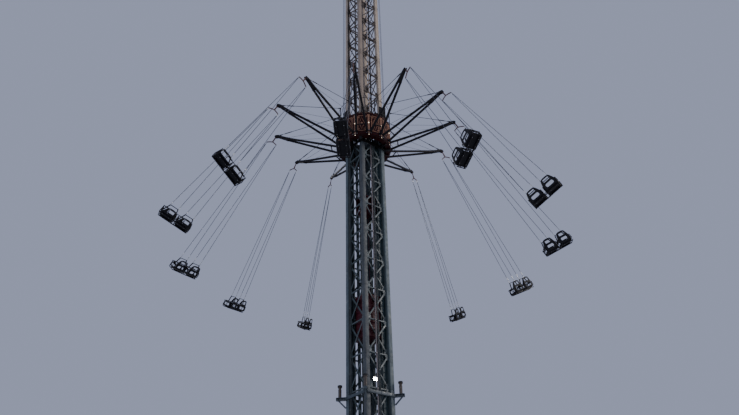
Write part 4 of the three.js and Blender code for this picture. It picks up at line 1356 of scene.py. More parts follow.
# %% [markdown]
# ## The arms
#
# An arm is two tubes that start wide apart on the drum and close into a tapered nose, with a fork and a
# pin at its tip. A stay runs from the nose up to its post, and two thin wires brace the nose sideways. The
# twelve arms are alike, so one is built along the radius and turned round, in three finishes: dark paint,
# oiled steel for pins and turnbuckles, and zinc for bolts.

# %% Sizes of an arm
TUBE_RADIUS = 0.057
ROOT_HEIGHT = DRUM_FOOT + 0.18
ROOT_HALF = 0.27
PAD_HALF = 0.068
NOSE_START = REACH - 0.62
NOSE_END = REACH - 0.11
PIVOT_HEIGHT = PIVOT.z
ARM_RISE = PIVOT_HEIGHT - ROOT_HEIGHT
NOSE_HEIGHT = ROOT_HEIGHT + ARM_RISE * (NOSE_START - DRUM_RADIUS) / (REACH - DRUM_RADIUS)
CHEEK_INSIDE, CHEEK = 0.037, 0.016
CHEEK_HALF = 0.080


def tube_ends(sign):
    root = Vector((WALL - 0.01, sign * ROOT_HALF, ROOT_HEIGHT))
    end = Vector((NOSE_START + 0.06, sign * 0.061, NOSE_HEIGHT + 0.018))
    return root, end


@builds(dark_paint)
def arm_steel(shape):
    ties = []
    for sign in (-1, 1):
        root, end = tube_ends(sign)
        tube(shape, root, end, TUBE_RADIUS, 24)
        along = (end - root).normalized()
        tube(shape, root + along * 0.02, root + along * 0.07, TUBE_RADIUS + 0.008, 24)
        tube(shape, end - along * 0.12, end - along * 0.06, TUBE_RADIUS + 0.006, 24)
        ties.append(root.lerp(end, 0.14))
        face = turned(math.asin(sign * ROOT_HALF / WALL))
        pad = (WALL - 0.004, WALL + 0.014)
        slab(shape, pad, about(0, PAD_HALF), about(ROOT_HEIGHT, 0.12), 0.004, face)
        for lean in (-1, 1):
            rib = face @ UPRIGHT
            root, edge = (WALL + 0.010, ROOT_HEIGHT), (WALL + 0.010, ROOT_HEIGHT + lean * 0.095)
            outline = [root, edge, (WALL + 0.16, ROOT_HEIGHT + 0.035 + lean * 0.035)]
            plate(shape, outline, 0.008, rib)
    tube(shape, ties[0], ties[1], 0.028, 16)
    for sign, tie in zip((-1, 1), ties):
        tube(shape, tie - Vector((0, sign * 0.050, 0)), tie - Vector((0, sign * 0.062, 0)), 0.040, 16)


@builds(dark_paint)
def arm_nose(shape):
    start = Vector((NOSE_START, 0, NOSE_HEIGHT))
    end = Vector((NOSE_END, 0, PIVOT_HEIGHT))
    along = (end - start).normalized()
    turn = Matrix((along, Vector((0, 1, 0)), along.cross(Vector((0, 1, 0))))).transposed().to_4x4()
    length = (end - start).length
    spot = Matrix.Translation(start) @ turn
    plate(shape, [(0, -0.106), (length, -0.076), (length, 0.076), (0, 0.106)], 0.100, spot, 0.008)
    for level in (-0.053, 0.053):
        cover = [(0.05, -0.080), (length - 0.06, -0.060), (length - 0.06, 0.060), (0.05, 0.080)]
        plate(shape, cover, 0.008, spot @ moved(0, 0, level), 0.002)
    plate(shape, [(-0.012, -0.120), (0.0, -0.120), (0.0, 0.120), (-0.012, 0.120)], 0.120, spot, 0.002)
    for sign in (-1, 1):
        middle = moved(0, sign * (CHEEK_INSIDE + CHEEK / 2), 0) @ UPRIGHT
        outline = [(NOSE_END - 0.058, PIVOT_HEIGHT - CHEEK_HALF)]
        for step in range(13):
            outline.append(on_circle(REACH, PIVOT_HEIGHT, CHEEK_HALF, math.radians(-90 + 15 * step)))
        outline.append((NOSE_END - 0.058, PIVOT_HEIGHT + CHEEK_HALF))
        plate(shape, outline, CHEEK, middle, 0.002)
    lug = [(4.36, 0.02), (4.50, 0.02), (4.47, 0.085), (4.42, 0.10)]
    plate(shape, [(reach, PIVOT_HEIGHT + up) for reach, up in lug], 0.012, UPRIGHT, 0.002)


# %% Pins, bolts, stays and side wires
STAY_FOOT = Vector((4.44, 0, PIVOT_HEIGHT + 0.080))
STAY_HEAD = Vector((HOOP_AT + 0.030, 0, RING_TOP - 0.026))


@builds(oiled_steel)
def arm_metal(shape):
    pin = Vector((REACH, 0, PIVOT_HEIGHT))
    side = Vector((0, 1, 0))
    tube(shape, pin - side * 0.072, pin + side * 0.072, 0.018, 20)
    tube(shape, pin - side * 0.072, pin - side * 0.054, 0.032, 20)
    tube(shape, pin + side * 0.054, pin + side * 0.074, 0.030, 6)
    tube(shape, pin + side * 0.0535, pin + side * 0.058, 0.036, 20)
    along = (STAY_HEAD - STAY_FOOT).normalized()
    low = STAY_FOOT + along * 0.30
    high = low + along * 0.30
    tube(shape, low, high, 0.024, 6)
    tube(shape, low - along * 0.05, low, 0.014, 12, 0.022)
    tube(shape, high, high + along * 0.05, 0.022, 12, 0.014)
    for end, way in ((STAY_FOOT, along), (STAY_HEAD, -along)):
        tube(shape, end - side * 0.028, end + side * 0.028, 0.011, 12)
        for sign in (-1, 1):
            low = end - way * 0.022 + side * sign * 0.014
            beam(shape, low, low + way * 0.10, 0.044, 0.008, way.cross(side), 0.002)
        tube(shape, end + way * 0.07, end + way * 0.14, 0.020, 12)


@builds(dark_paint)
def arm_stays(shape):
    along = (STAY_HEAD - STAY_FOOT).normalized()
    tube(shape, STAY_FOOT + along * 0.12, STAY_HEAD - along * 0.12, 0.0125, 12)
    for sign in (-1, 1):
        angle = TURN / 2
        head = Vector((WALL * math.cos(angle), sign * WALL * math.sin(angle), DRUM_TOP - 0.10))
        foot = Vector((NOSE_START + 0.02, sign * 0.10, NOSE_HEIGHT + 0.01))
        tube(shape, foot, head, 0.006, 8)


def arm_bolts():
    for arm in range(len(ARM_NUMBERS)):
        turn = turned(FIRST_ANGLE + arm * TURN)
        for sign in (-1, 1):
            face = turn @ turned(math.asin(sign * ROOT_HALF / WALL))
            facing = face.to_3x3() @ Vector((1, 0, 0))
            for across, up in product((-0.048, 0.048), (-0.098, 0.098)):
                yield face @ Vector((WALL + 0.014, across, ROOT_HEIGHT + up)), facing


arm_parts = []
for unit in (arm_steel(), arm_nose(), arm_metal(), arm_stays()):
    unit.data.transform(turned(FIRST_ANGLE))
    arm_parts.append(round_the_axis(unit))
arms = joined("arms", [*arm_parts, bolts_at(arm_bolts(), 0.010, 0.010)])
place_on(arms, "rotor", "arm_paint", *("arm_" + number for number in ARM_NUMBERS))
print("arm faces:", len(arms.data.polygons))

# %% [markdown]
# ## The suspensions
#
# Each double seat hangs from its pin by an eye, a flat bar and a bowed spreader, and four wire ropes that
# end in sockets. All twelve are alike but each turns on its own pin, so one mesh is built upright under its
# pin and a copy goes to each arm, already tilted out as the ride flies.

# %% Build one suspension upright below its pin
HANGER = 0.38
BOW_END = 0.49
SPREADER_HALF = 0.276
SEAT_PITCH = 0.36
FRAME_HALF = 0.185
FRAME_TOP = -8.02
ROPE = 0.0105


@builds(rust_beige)
def suspension_paint(shape):
    outline = [
        (0.0195, -0.031), (0.046, -0.031), (0.048, -0.027), (0.048, 0.027), (0.046, 0.031), (0.0195, 0.031)
    ]
    lathe(shape, outline, 32, UPRIGHT)
    slab(shape, about(0, 0.032), about(0, 0.012), (-HANGER + 0.01, -0.040), 0.004)
    for sign in (-1, 1):
        slab(shape, about(0, 0.028), about(sign * 0.016, 0.005), (-HANGER - 0.02, -HANGER + 0.15), 0.003)
    bow = []
    for step in range(17):
        part = -1 + step / 8
        bow.append((part * 0.285, 0, -HANGER - 0.004 - (BOW_END - HANGER) * abs(part) ** 1.6))
    bent_tube(shape, bow, 0.027, 14)
    tube(shape, (0, -0.024, -HANGER - 0.004), (0, 0.024, -HANGER - 0.004), 0.014, 12)


def rope_ends():
    for sign, across in product((-1, 1), repeat=2):
        top = Vector((sign * SPREADER_HALF + across * 0.006, 0, -BOW_END + 0.004))
        yield top, Vector((sign * SEAT_PITCH + across * FRAME_HALF, 0, FRAME_TOP + 0.002))


@builds(zinc)
def suspension_sockets(shape):
    for top, foot in rope_ends():
        along = (foot - top).normalized()
        tube(shape, top + along * 0.012, top + along * 0.07, 0.014, 12, 0.016)
        tube(shape, top + along * 0.07, top + along * 0.14, 0.016, 12, 0.010)
        tube(shape, foot - along * 0.15, foot - along * 0.08, 0.010, 12, 0.016)
        tube(shape, foot - along * 0.08, foot, 0.016, 12, 0.014)
        low = foot - along * 0.30
        tube(shape, low, low + along * 0.14, 0.015, 6)
    for sign in (-1, 1):
        across = sign * SPREADER_HALF
        tube(shape, (across, -0.026, -BOW_END), (across, 0.026, -BOW_END), 0.012, 12)


def rope_with_lay(shape, start, end, radius, sides=10):
    """A straight wire rope with a UV map: once round is 1, and every metre along is 1."""
    start, end = Vector(start), Vector(end)
    uv = shape.loops.layers.uv.verify()
    turn = steer(start, end).to_3x3()
    rings = []
    for centre in (start, end):
        ring = []
        for step in range(sides):
            rim = Vector((*on_circle(0, 0, 1, math.tau * step / sides), 0))
            ring.append(shape.verts.new(centre + turn @ rim * radius))
        rings.append(ring)
    length = (end - start).length
    for step in range(sides):
        after = (step + 1) % sides
        face = shape.faces.new((rings[0][step], rings[0][after], rings[1][after], rings[1][step]))
        places = ((step, 0), (step + 1, 0), (step + 1, length), (step, length))
        for loop, (turn_part, height) in zip(face.loops, places):
            loop[uv].uv = (turn_part / sides, height)
    shape.faces.new(list(reversed(rings[0])))
    shape.faces.new(rings[1])


@builds(swing_rope)
def suspension_ropes(shape):
    for top, foot in rope_ends():
        along = (foot - top).normalized()
        rope_with_lay(shape, top + along * 0.10, foot - along * 0.12, ROPE)


suspension = joined("suspension_unit", [suspension_paint(), suspension_sockets(), suspension_ropes()])
print("suspension faces:", len(suspension.data.polygons))

# %% [markdown]
# ## The double seats
#
# A bucket is one moulded shell: a pan, two sides cut out below the arm rests, and a back that narrows
# upwards round two openings, a rounded one low down and a window at shoulder height. It could be pieced
# together from bars, but a moulding has one wall thickness and soft corners, so a flat pan and a wall that
# runs round three sides of it are laid out as a grid and thickened by a modifier. The openings are cut from
# that shell with simple solids, as a router would cut them from the moulding.

# %% Sizes of a seat
PAN_TOP = -8.60
BUCKET_HALF = 0.288
BUCKET_FRONT = 0.235
BUCKET_BACK = -0.222
CORNER = 0.075
FILLET = 0.05
SIDE_RISE = 0.245
BACK_RISE = 0.56
BACK_NARROWS = 0.28
SHELL = 0.018
LOWER_HOLE = [(-0.180, 0.060), (0.180, 0.060), (0.180, 0.260), (-0.180, 0.260)]
UPPER_HOLE = [(-0.155, 0.335), (0.155, 0.335), (0.135, 0.500), (-0.135, 0.500)]
SIDE_HOLE = [(-0.150, 0.060), (0.150, 0.060), (0.150, 0.185), (-0.150, 0.185)]
BACK_PLANE = moved(0, BUCKET_BACK, PAN_TOP) @ UPRIGHT
SIDE_PLANE = moved(0, 0, PAN_TOP) @ turned(QUARTER) @ UPRIGHT


# %% Lay out the shell of one bucket
def plan_line():
    """Places round the bucket's wall in plan, from front left round the back to front right."""
    line = [(-BUCKET_HALF, BUCKET_FRONT - 0.36 * step / 11) for step in range(11)]
    for step in range(9):
        angle = math.radians(180 + 90 * step / 8)
        line.append(on_circle(-BUCKET_HALF + CORNER, BUCKET_BACK + CORNER, CORNER, angle))
    line += [(across, BUCKET_BACK) for across in (-0.14, -0.07, 0.0)]
    return line + [(-across, along) for across, along in reversed(line[:-1])]


def wall_top(across, along):
    """The wall is low at the front, arm-rest high at the side and tall at the back."""
    back = min(1.0, max(0.0, (BUCKET_BACK + CORNER - along) / CORNER))
    front = min(1.0, max(0.0, (BUCKET_FRONT - along) / 0.12))
    shoulder = 1 - 0.10 * (abs(across) / BUCKET_HALF) ** 3
    side = 0.09 + (SIDE_RISE - 0.09) * math.sin(front * math.pi / 2)
    blend = back * back * (3 - 2 * back)
    return side + (BACK_RISE * shoulder - side) * blend


def shell_column(shape, across, along):
    """One upright row of corners: round the fillet at the pan, then up the wall."""
    inward = Vector((-across, 0.02 - along, 0))
    inward.x = inward.x if abs(across) > BUCKET_HALF - CORNER else 0.0
    inward.y = inward.y if along < BUCKET_BACK + CORNER else 0.0
    inward.normalize()
    column = []
    for step in range(5):
        angle = math.radians(90 * step / 4)
        lift = FILLET * (1 - math.cos(angle))
        place = Vector((across, along, 0)) + inward * FILLET * (1 - math.sin(angle))
        column.append(shape.verts.new(place + UP * (PAN_TOP + lift)))
    top = wall_top(across, along)
    for step in range(1, 8):
        height = FILLET + (top - FILLET) * step / 7
        narrow = 1 - BACK_NARROWS * max(0.0, height - SIDE_RISE) / (BACK_RISE - SIDE_RISE)
        column.append(shape.verts.new((across * narrow, along, PAN_TOP + height)))
    return column


def bucket_grid():
    """The wall between neighbouring columns, and the pan between its two halves."""
    shape = bmesh.new()
    grid = [shell_column(shape, across, along) for across, along in plan_line()]
    for here, there in zip(grid, grid[1:]):
        for level in range(len(here) - 1):
            shape.faces.new((here[level], there[level], there[level + 1], here[level + 1]))
    rim = [column[0] for column in grid]
    for index in range(len(rim) // 2):
        left, left_next = rim[index], rim[index + 1]
        right, right_next = rim[-1 - index], rim[-2 - index]
        shape.faces.new(list(dict.fromkeys((left, left_next, right_next, right))))
    bmesh.ops.recalc_face_normals(shape, faces=shape.faces)
    mesh = bpy.data.meshes.new("bucket_grid")
    shape.to_mesh(mesh)
    shape.free()
    return mesh


# %% Thicken it, cut its openings and round its edges
def rounded_path(points, radius, closed=False, steps=5):
    """Replaces every inner corner of a path by a short arc."""
    points = [Vector(point) for point in points]
    count = len(points)
    path = []
    for index, point in enumerate(points):
        if not closed and index in (0, count - 1):
            path.append(point)
            continue
        before = (points[index - 1] - point).normalized()
        after = (points[(index + 1) % count] - point).normalized()
        reach = radius / max(math.tan(before.angle(after) / 2), 0.05)
        start, end = point + before * reach, point + after * reach
        for step in range(steps + 1):
            part = step / steps
            path.append((1 - part) ** 2 * start + 2 * part * (1 - part) * point + part ** 2 * end)
    return path


def rounded_hole(corners, radius):
    path = rounded_path([(*corner, 0) for corner in corners], radius, True)
    return [(place.x, place.y) for place in path]


def bucket_shell():
    thing = link(bpy.data.objects.new("bucket_shell", bucket_grid()))
    shape = bmesh.new()
    plate(shape, rounded_hole(LOWER_HOLE, 0.080), 0.08, BACK_PLANE)
    plate(shape, rounded_hole(UPPER_HOLE, 0.035), 0.08, BACK_PLANE)
    plate(shape, rounded_hole(SIDE_HOLE, 0.055), 3 * BUCKET_HALF, SIDE_PLANE)
    cutter = to_object("hole_cutter", shape, seat_black)
    thick = thing.modifiers.new("wall", "SOLIDIFY")
    thick.thickness = SHELL
    thick.offset = 0
    cut = thing.modifiers.new("openings", "BOOLEAN")
    cut.operation = "DIFFERENCE"
    cut.solver = "EXACT"
    cut.object = cutter
    round_off = thing.modifiers.new("edge", "BEVEL")
    round_off.width = 0.004
    round_off.segments = 2
    round_off.limit_method = "ANGLE"
    round_off.angle_limit = math.radians(50)
    graph = bpy.context.evaluated_depsgraph_get()
    solid = bpy.data.meshes.new_from_object(thing.evaluated_get(graph))
    bpy.data.objects.remove(cutter)
    thing.modifiers.clear()
    thing.data = solid
    for face in solid.polygons:
        face.use_smooth = True
    solid.set_sharp_from_angle(angle=math.radians(40))
    solid.materials.clear()
    solid.materials.append(seat_black)
    return thing


# %% Frame, lap bar and pads of a double seat
@builds(dark_paint)
def seat_frame(shape):
    """Side bars from the ropes to the arm rests, posts and loops beside them, rails under the pan."""
    head = FRAME_HALF - 0.010
    for sign in (-1, 1):
        middle = sign * SEAT_PITCH
        slab(shape, about(middle, head), about(0, 0.014), (FRAME_TOP - 0.024, FRAME_TOP), 0.004)
        for across in (-1, 1):
            foot = (middle + across * 0.274, 0, PAN_TOP + 0.225)
            top = (middle + across * head, 0, FRAME_TOP - 0.001)
            beam(shape, foot, top, 0.040, 0.036, (1, 0, 0), 0.006)
            beside = middle + across * 0.304
            tube(shape, (beside, 0, PAN_TOP - 0.045), (beside, 0, PAN_TOP + 0.255), 0.013, 12)
            back, front = BUCKET_BACK + 0.02, BUCKET_FRONT - 0.04
            line = ((back, 0.04), (back, 0.27), (front, 0.27), (front, -0.03))
            rest = [(beside, along, PAN_TOP + up) for along, up in line]
            bent_tube(shape, rounded_path(rest, 0.06), 0.014, 10)
            slab(shape, about(beside, 0.014), (-0.17, 0.19), (PAN_TOP - 0.050, PAN_TOP - 0.028), 0.003)
        bearer = (PAN_TOP - 0.046, PAN_TOP - 0.012)
        for along in (-0.13, 0.13):
            slab(shape, about(middle, 0.20), about(along, 0.03), bearer, 0.006)
    for along in (-0.13, 0.13):
        slab(shape, about(0, 0.655), about(along, 0.02), (PAN_TOP - 0.069, PAN_TOP - 0.040), 0.004)


@builds(seat_grey)
def lap_bar(shape):
    end = SEAT_PITCH + 0.30 + 0.022
    height = PAN_TOP + 0.257
    front = BUCKET_FRONT - 0.032
    tube(shape, (-end, front, height), (end, front, height), 0.016, 16)
    for sign in (-1, 1):
        middle = sign * SEAT_PITCH
        tube(shape, (sign * end, front, height), (sign * (end - 0.02), front, height), 0.022, 16)
        tube(shape, (sign * 0.06 - 0.012, front, height), (sign * 0.06 + 0.012, front, height), 0.022, 14)
        strap = [
            (middle, BUCKET_FRONT - 0.015, PAN_TOP + 0.012), (middle, BUCKET_FRONT - 0.005, PAN_TOP + 0.12),
            (middle, front, height - 0.012),
        ]
        for lower, upper in zip(strap, strap[1:]):
            beam(shape, lower, upper, 0.034, 0.006, (1, 0, 0), 0.001)
        buckle = (PAN_TOP + 0.10, PAN_TOP + 0.16)
        slab(shape, about(middle, 0.026), (BUCKET_FRONT - 0.020, BUCKET_FRONT + 0.002), buckle, 0.006)


@builds(rubber)
def seat_trim(shape):
    """Foam sleeves on the lap bar, a soft rim round the openings and a low moulded rib across each pan."""
    height = PAN_TOP + 0.257
    front = BUCKET_FRONT - 0.032
    for sign in (-1, 1):
        middle = sign * SEAT_PITCH
        for start, end in ((-0.24, -0.03), (0.03, 0.24)):
            tube(shape, (middle + start, front, height), (middle + end, front, height), 0.0255, 16)
        for corners, radius in ((LOWER_HOLE, 0.080), (UPPER_HOLE, 0.035)):
            hole = rounded_hole(corners, radius)
            rim = [(middle + across, BUCKET_BACK, PAN_TOP + up) for across, up in hole]
            bent_tube(shape, rim, 0.013, 8, True)
        slab(shape, about(middle, 0.20), (-0.14, 0.17), (PAN_TOP + 0.004, PAN_TOP + 0.026), 0.010)


def seat_bolts():
    for sign in (-1, 1):
        middle = sign * SEAT_PITCH
        for across, along in product((-0.15, 0.15), (-0.13, 0.13)):
            yield (middle + across, along, PAN_TOP - 0.069), (0, 0, -1)
        for side, height in product((-1, 1), (PAN_TOP + 0.02, PAN_TOP + 0.20)):
            yield (middle + side * 0.316, 0, height), (side, 0, 0)


def both_buckets():
    """The one shell, moved to the outer and the inner place."""
    shell = bucket_shell()
    shape = bmesh.new()
    for sign in (-1, 1):
        copy = shell.data.copy()
        copy.transform(moved(sign * SEAT_PITCH, 0, 0))
        shape.from_mesh(copy)
        bpy.data.meshes.remove(copy)
    bpy.data.objects.remove(shell)
    mesh = bpy.data.meshes.new("both_buckets")
    shape.to_mesh(mesh)
    shape.free()
    mesh.materials.append(seat_black)
    return link(bpy.data.objects.new("both_buckets", mesh))


seat = joined("seat_unit", [
    both_buckets(), seat_frame(), lap_bar(), seat_trim(),
    bolts_at(seat_bolts(), 0.007, 0.007),
])
print("seat faces:", len(seat.data.polygons))


# %% Put a suspension and a seat under every pin
def flying(number):
    """The place of a swing that flies out on arm `number`."""
    pivot = Vector(joints["swing_out_" + number]["pos_m"])
    turn = turned(math.atan2(pivot.y, pivot.x))
    return Matrix.Translation(pivot) @ turn @ Matrix.Rotation(-FLIGHT, 4, "Y")


for number in ARM_NUMBERS:
    for unit, kind, slot_name in ((suspension, "suspension", "rope_steel"), (seat, "seat", "seat_shell")):
        mesh = unit.data.copy()
        mesh.transform(flying(number))
        one = link(bpy.data.objects.new("swing_" + kind + "_" + number, mesh))
        place_on(one, "swing_" + number, slot_name, kind + "_" + number)
bpy.data.objects.remove(suspension)
bpy.data.objects.remove(seat)
print("swings:", len(ARM_NUMBERS))

# %% [markdown]
# ## Hoist ropes and the rope of the counterweight
#
# Two ropes rise from each anchor to the head, cross its sheaves and share the load with the counterweight.
# As the carriage climbs they get shorter, but here each set is one plain mesh at the ropes' present length,
# from the sheaves down to the anchors or the hitch, and it is not attached to any body.

# %% Stretch the ropes between the head and what they lift
CROSS_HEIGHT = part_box("hoist_ropes")[1].z - 0.012
HOIST_FOOT = ANCHOR_TOP + 0.012
ROPE_OUT = Vector((1, -1, 0)).normalized()
hitch_low, hitch_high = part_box("rope_hitch")


def split_rope(shape, low, high, radius):
    """A rope in ten lengths, so that its lay keeps an even pitch along the way."""
    low, high = Vector(low), Vector(high)
    for step in range(10):
        rope_with_lay(shape, low.lerp(high, step / 10), low.lerp(high, (step + 1) / 10), radius)


@builds(hoist_rope)
def hoist_rope_set(shape):
    """Two ropes at each anchor, two that cross between the sheaves, and the blocks that join them."""
    for sign, reach in product((-1, 1), ROPES_AT):
        foot = ROPE_OUT * sign * reach
        split_rope(shape, foot + UP * HOIST_FOOT, foot + UP * (CROSS_HEIGHT - 0.02), ROPE)
    for across in (-0.022, 0.022):
        shift = Vector((1, 1, 0)).normalized() * across
        start, end = -ROPE_OUT * 1.098 + shift, ROPE_OUT * 1.098 + shift
        rope_with_lay(shape, start + UP * CROSS_HEIGHT, end + UP * CROSS_HEIGHT, ROPE)
    for sign in (-1, 1):
        end = ROPE_OUT * sign * 1.08 + UP * (CROSS_HEIGHT - 0.012)
        block = Matrix.Translation(end) @ turned(math.radians(45))
        slab(shape, about(0, 0.035), about(0, 0.035), (-0.024, 0.022), 0.008, block)


@builds(hoist_rope)
def weight_rope_set(shape):
    for across, along in product((-0.018, 0.018), repeat=2):
        low = (across, along, hitch_high.z + 0.001)
        split_rope(shape, low, (across, along, CROSS_HEIGHT - 0.014), ROPE)


ropes = hoist_rope_set()
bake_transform(ropes)
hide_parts("hoist_ropes")

falls = weight_rope_set()
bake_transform(falls)
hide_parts("counterweight_rope")
print("rope faces:", len(ropes.data.polygons) + len(falls.data.polygons))

# %% [markdown]
# ## The counterweight
#
# Inside the tower a stack of steel plates balances the carriage. On the real ride the plates lie between
# angle posts and tie rods, and shoes on the two frames keep the stack clear of the lattice. One plate is
# modelled and the line tree stacks ten of them.

# %% Stack the plates and frame them
weight_low, weight_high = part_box("counterweight")
WEIGHT_HALF = 0.490
SHOE_REACH = weight_high.x
PLATES = 10
PLATE_STEP = (weight_high.z - weight_low.z - 0.16) / PLATES


@builds(crimson_paint)
def weight_plate(shape):
    half = WEIGHT_HALF - 0.006
    low = weight_low.z + 0.08
    slab(shape, about(0, half), about(0, half), (low + 0.003, low + PLATE_STEP - 0.003), 0.010)


@builds(crimson_paint)
def weight_frame(shape):
    half = WEIGHT_HALF
    for low in (weight_low.z, weight_high.z - 0.08):
        slab(shape, about(0, half), about(0, half), (low, low + 0.08), 0.008)
    for x, y in product((-1, 1), repeat=2):
        for wide, deep in ((0.09, 0.008), (0.008, 0.09)):
            xs = sorted((x * (half - wide), x * half))
            ys = sorted((y * (half - deep), y * half))
            slab(shape, xs, ys, within(weight_low.z, weight_high.z, 0.04), 0.002)
    for height in within(weight_low.z, weight_high.z, 0.25):
        for spot in SIDES:
            slab(shape, (half - 0.02, half + 0.030), about(0, 0.07), about(height, 0.09), 0.006, spot)


@builds(rubber)
def weight_shoes(shape):
    for height in within(weight_low.z, weight_high.z, 0.25):
        for spot in SIDES:
            out = (WEIGHT_HALF + 0.028, SHOE_REACH)
            slab(shape, out, about(0, 0.060), about(height, 0.08), 0.010, spot)


def weight_bolts():
    for spot in SIDES:
        facing = spot.to_3x3() @ Vector((1, 0, 0))
        for across, step in product((-0.445, 0.445), range(PLATES)):
            height = weight_low.z + 0.08 + (step + 0.5) * PLATE_STEP
            yield spot @ Vector((WEIGHT_HALF, across, height)), facing


weight = joined("weight_stack", [
    in_a_line("weight_plates", weight_plate(), PLATES, PLATE_STEP),
    weight_frame(), weight_shoes(),
    bolts_at(weight_bolts(), 0.009, 0.007),
])
place_on(weight, "counterweight", "weight_paint", "counterweight")


@builds(crimson_paint)
def hitch_block(shape):
    half = hitch_high.x
    low, high = hitch_low.z, hitch_high.z
    body = high - 0.8
    for level in (body, body + 0.36, high - 0.06):
        slab(shape, about(0, half), about(0, half), (level, level + 0.06), 0.008)
    for x, y in product((0.05 - half, half - 0.05), repeat=2):
        slab(shape, about(x, 0.045), about(y, 0.045), within(body, high, 0.03), 0.010)
    slab(shape, about(0, 0.20), about(0, 0.20), within(body, high, 0.05), 0.020)
    for sign in (-1, 1):
        tube(shape, (sign * 0.12, 0, low), (sign * 0.12, 0, body + 0.10), 0.017, 14)
        tube(shape, (sign * 0.12, 0, low + 0.001), (sign * 0.12, 0, low + 0.05), 0.032, 6)
        tube(shape, (sign * 0.12, 0, body - 0.06), (sign * 0.12, 0, body - 0.01), 0.032, 6)


hitch = hitch_block()
place_on(hitch, "counterweight", "weight_paint", "rope_hitch")
print("weight faces:", len(weight.data.polygons) + len(hitch.data.polygons))

# %% [markdown]
# ## Buffers at the foot of the travel
#
# Four brackets stand out from a collar round the tower, one on each corner, and carry upright buffers that
# the carriage's pads come down on. Their caps are rubber. The collar could be a plain ring, but the real
# one is clamped round the legs in two halves, so it gets flanges, bolts and stiffeners.

# %% Build one corner and turn it four times
BUFFER_RADIUS = 1.23
BUFFER_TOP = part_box("buffer_frame")[1].z
BRACKET_TOP = 8.80
BRACKET_LOW = 8.68
LEG_FACE = LEG_CENTRE + LEG_SIDE / 2
DIAGONAL = turned(math.radians(-45))


@builds(base_paint)
def bracket_steel(shape):
    start, end = LEG_FACE * math.sqrt(2) - 0.02, BUFFER_RADIUS + 0.148
    for low in (BRACKET_LOW + 0.001, BRACKET_TOP - 0.013):
        slab(shape, (start, end), about(0, 0.070), (low, low + 0.012), 0.002, DIAGONAL)
    slab(shape, (start, end), about(0, 0.006), within(BRACKET_LOW, BRACKET_TOP, 0.01), 0, DIAGONAL)
    height = within(BRACKET_LOW, BRACKET_TOP, 0.001)
    slab(shape, (end - 0.012, end), about(0, 0.070), height, 0.003, DIAGONAL)
    height = within(BRACKET_LOW, BRACKET_TOP, 0.01)
    for reach in about(BUFFER_RADIUS, 0.07):
        slab(shape, about(reach, 0.005), about(0, 0.066), height, 0, DIAGONAL)
    low = DIAGONAL @ Vector((0.99, 0, BRACKET_LOW - 0.30))
    high = DIAGONAL @ Vector((BUFFER_RADIUS + 0.06, 0, BRACKET_LOW + 0.015))
    beam(shape, low, high, 0.056, 0.056, DIAGONAL @ Vector((0, 1, 0)), 0.006)
    wide, front = LEG_FACE + 0.055, -LEG_FACE - 0.055
    slab(shape, about(0, wide), (front, front + 0.012), (BRACKET_LOW, BRACKET_TOP), 0.003)
    deep = (front + 0.005, -LEG_FACE - 0.001)
    for low in (BRACKET_LOW, BRACKET_TOP - 0.012):
        slab(shape, (0.005 - wide, wide - 0.005), deep, (low, low + 0.012), 0.002)
    for across in (-0.45, -0.15, 0.15, 0.45):
        slab(shape, about(across, 0.005), deep, within(BRACKET_LOW, BRACKET_TOP, 0.005))


@builds(brown_paint)
def buffer_posts(shape):
    foot = DIAGONAL @ Vector((BUFFER_RADIUS, 0, BRACKET_TOP))
    steps = ((0, 0.016, 0.070), (0.010, 0.30, 0.066), (0.285, 0.31, 0.070), (0.30, 0.42, 0.060),
             (0.405, 0.425, 0.088))
    for low, high, radius in steps:
        tube(shape, foot + UP * low, foot + UP * high, radius, 28)


@builds(rubber)
def buffer_caps(shape):
    foot = DIAGONAL @ Vector((BUFFER_RADIUS, 0, 0))
    outline = [(0.004, 0.080), (0.090, 0.080), (0.095, 0.070), (0.095, 0.020), (0.082, 0.004),
               (0.068, 0), (0.004, 0)]
    ring = [(radius, BUFFER_TOP - down) for radius, down in outline]
    lathe(shape, ring, 28, Matrix.Translation(foot))


def bracket_bolts():
    for spot in SIDES:
        for along, across in product((-0.100, 0.100), (-0.045, 0.045)):
            corner = DIAGONAL @ Vector((BUFFER_RADIUS + along, across, BRACKET_TOP))
            yield spot @ corner, (0, 0, 1)
        heights = within(BRACKET_LOW, BRACKET_TOP, 0.035)
        for across, height in product((-0.62, -0.55, -0.30, 0.0, 0.30, 0.55, 0.62), heights):
            place = spot @ Vector((across, -LEG_FACE - 0.055, height))
            yield place, spot.to_3x3() @ Vector((0, -1, 0))


buffers = joined("buffers", [
    round_the_axis(bracket_steel(), 4),
    round_the_axis(buffer_posts(), 4),
    round_the_axis(buffer_caps(), 4),
    bolts_at(bracket_bolts(), 0.010, 0.010, dull_zinc),
])
place_on(buffers, "tower", "buffer_paint", "buffer_frame")
print("buffer faces:", len(buffers.data.polygons))

# %% [markdown]
# ## Floodlight
#
# One bright work light hangs on the front lattice above the buffers. Its glass gives off light of its own,
# and its cast housing has cooling fins. It hangs on a short arm from the lattice.

# %% Build the lamp
lamp_low, lamp_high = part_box("floodlight")
LAMP_MIDDLE = (lamp_low.x + lamp_high.x) / 2
LAMP_FRONT = lamp_low.y
LAMP_BACK = LAMP_FRONT + 0.056
LAMP_FOOT, LAMP_HEAD = 9.18, 9.33


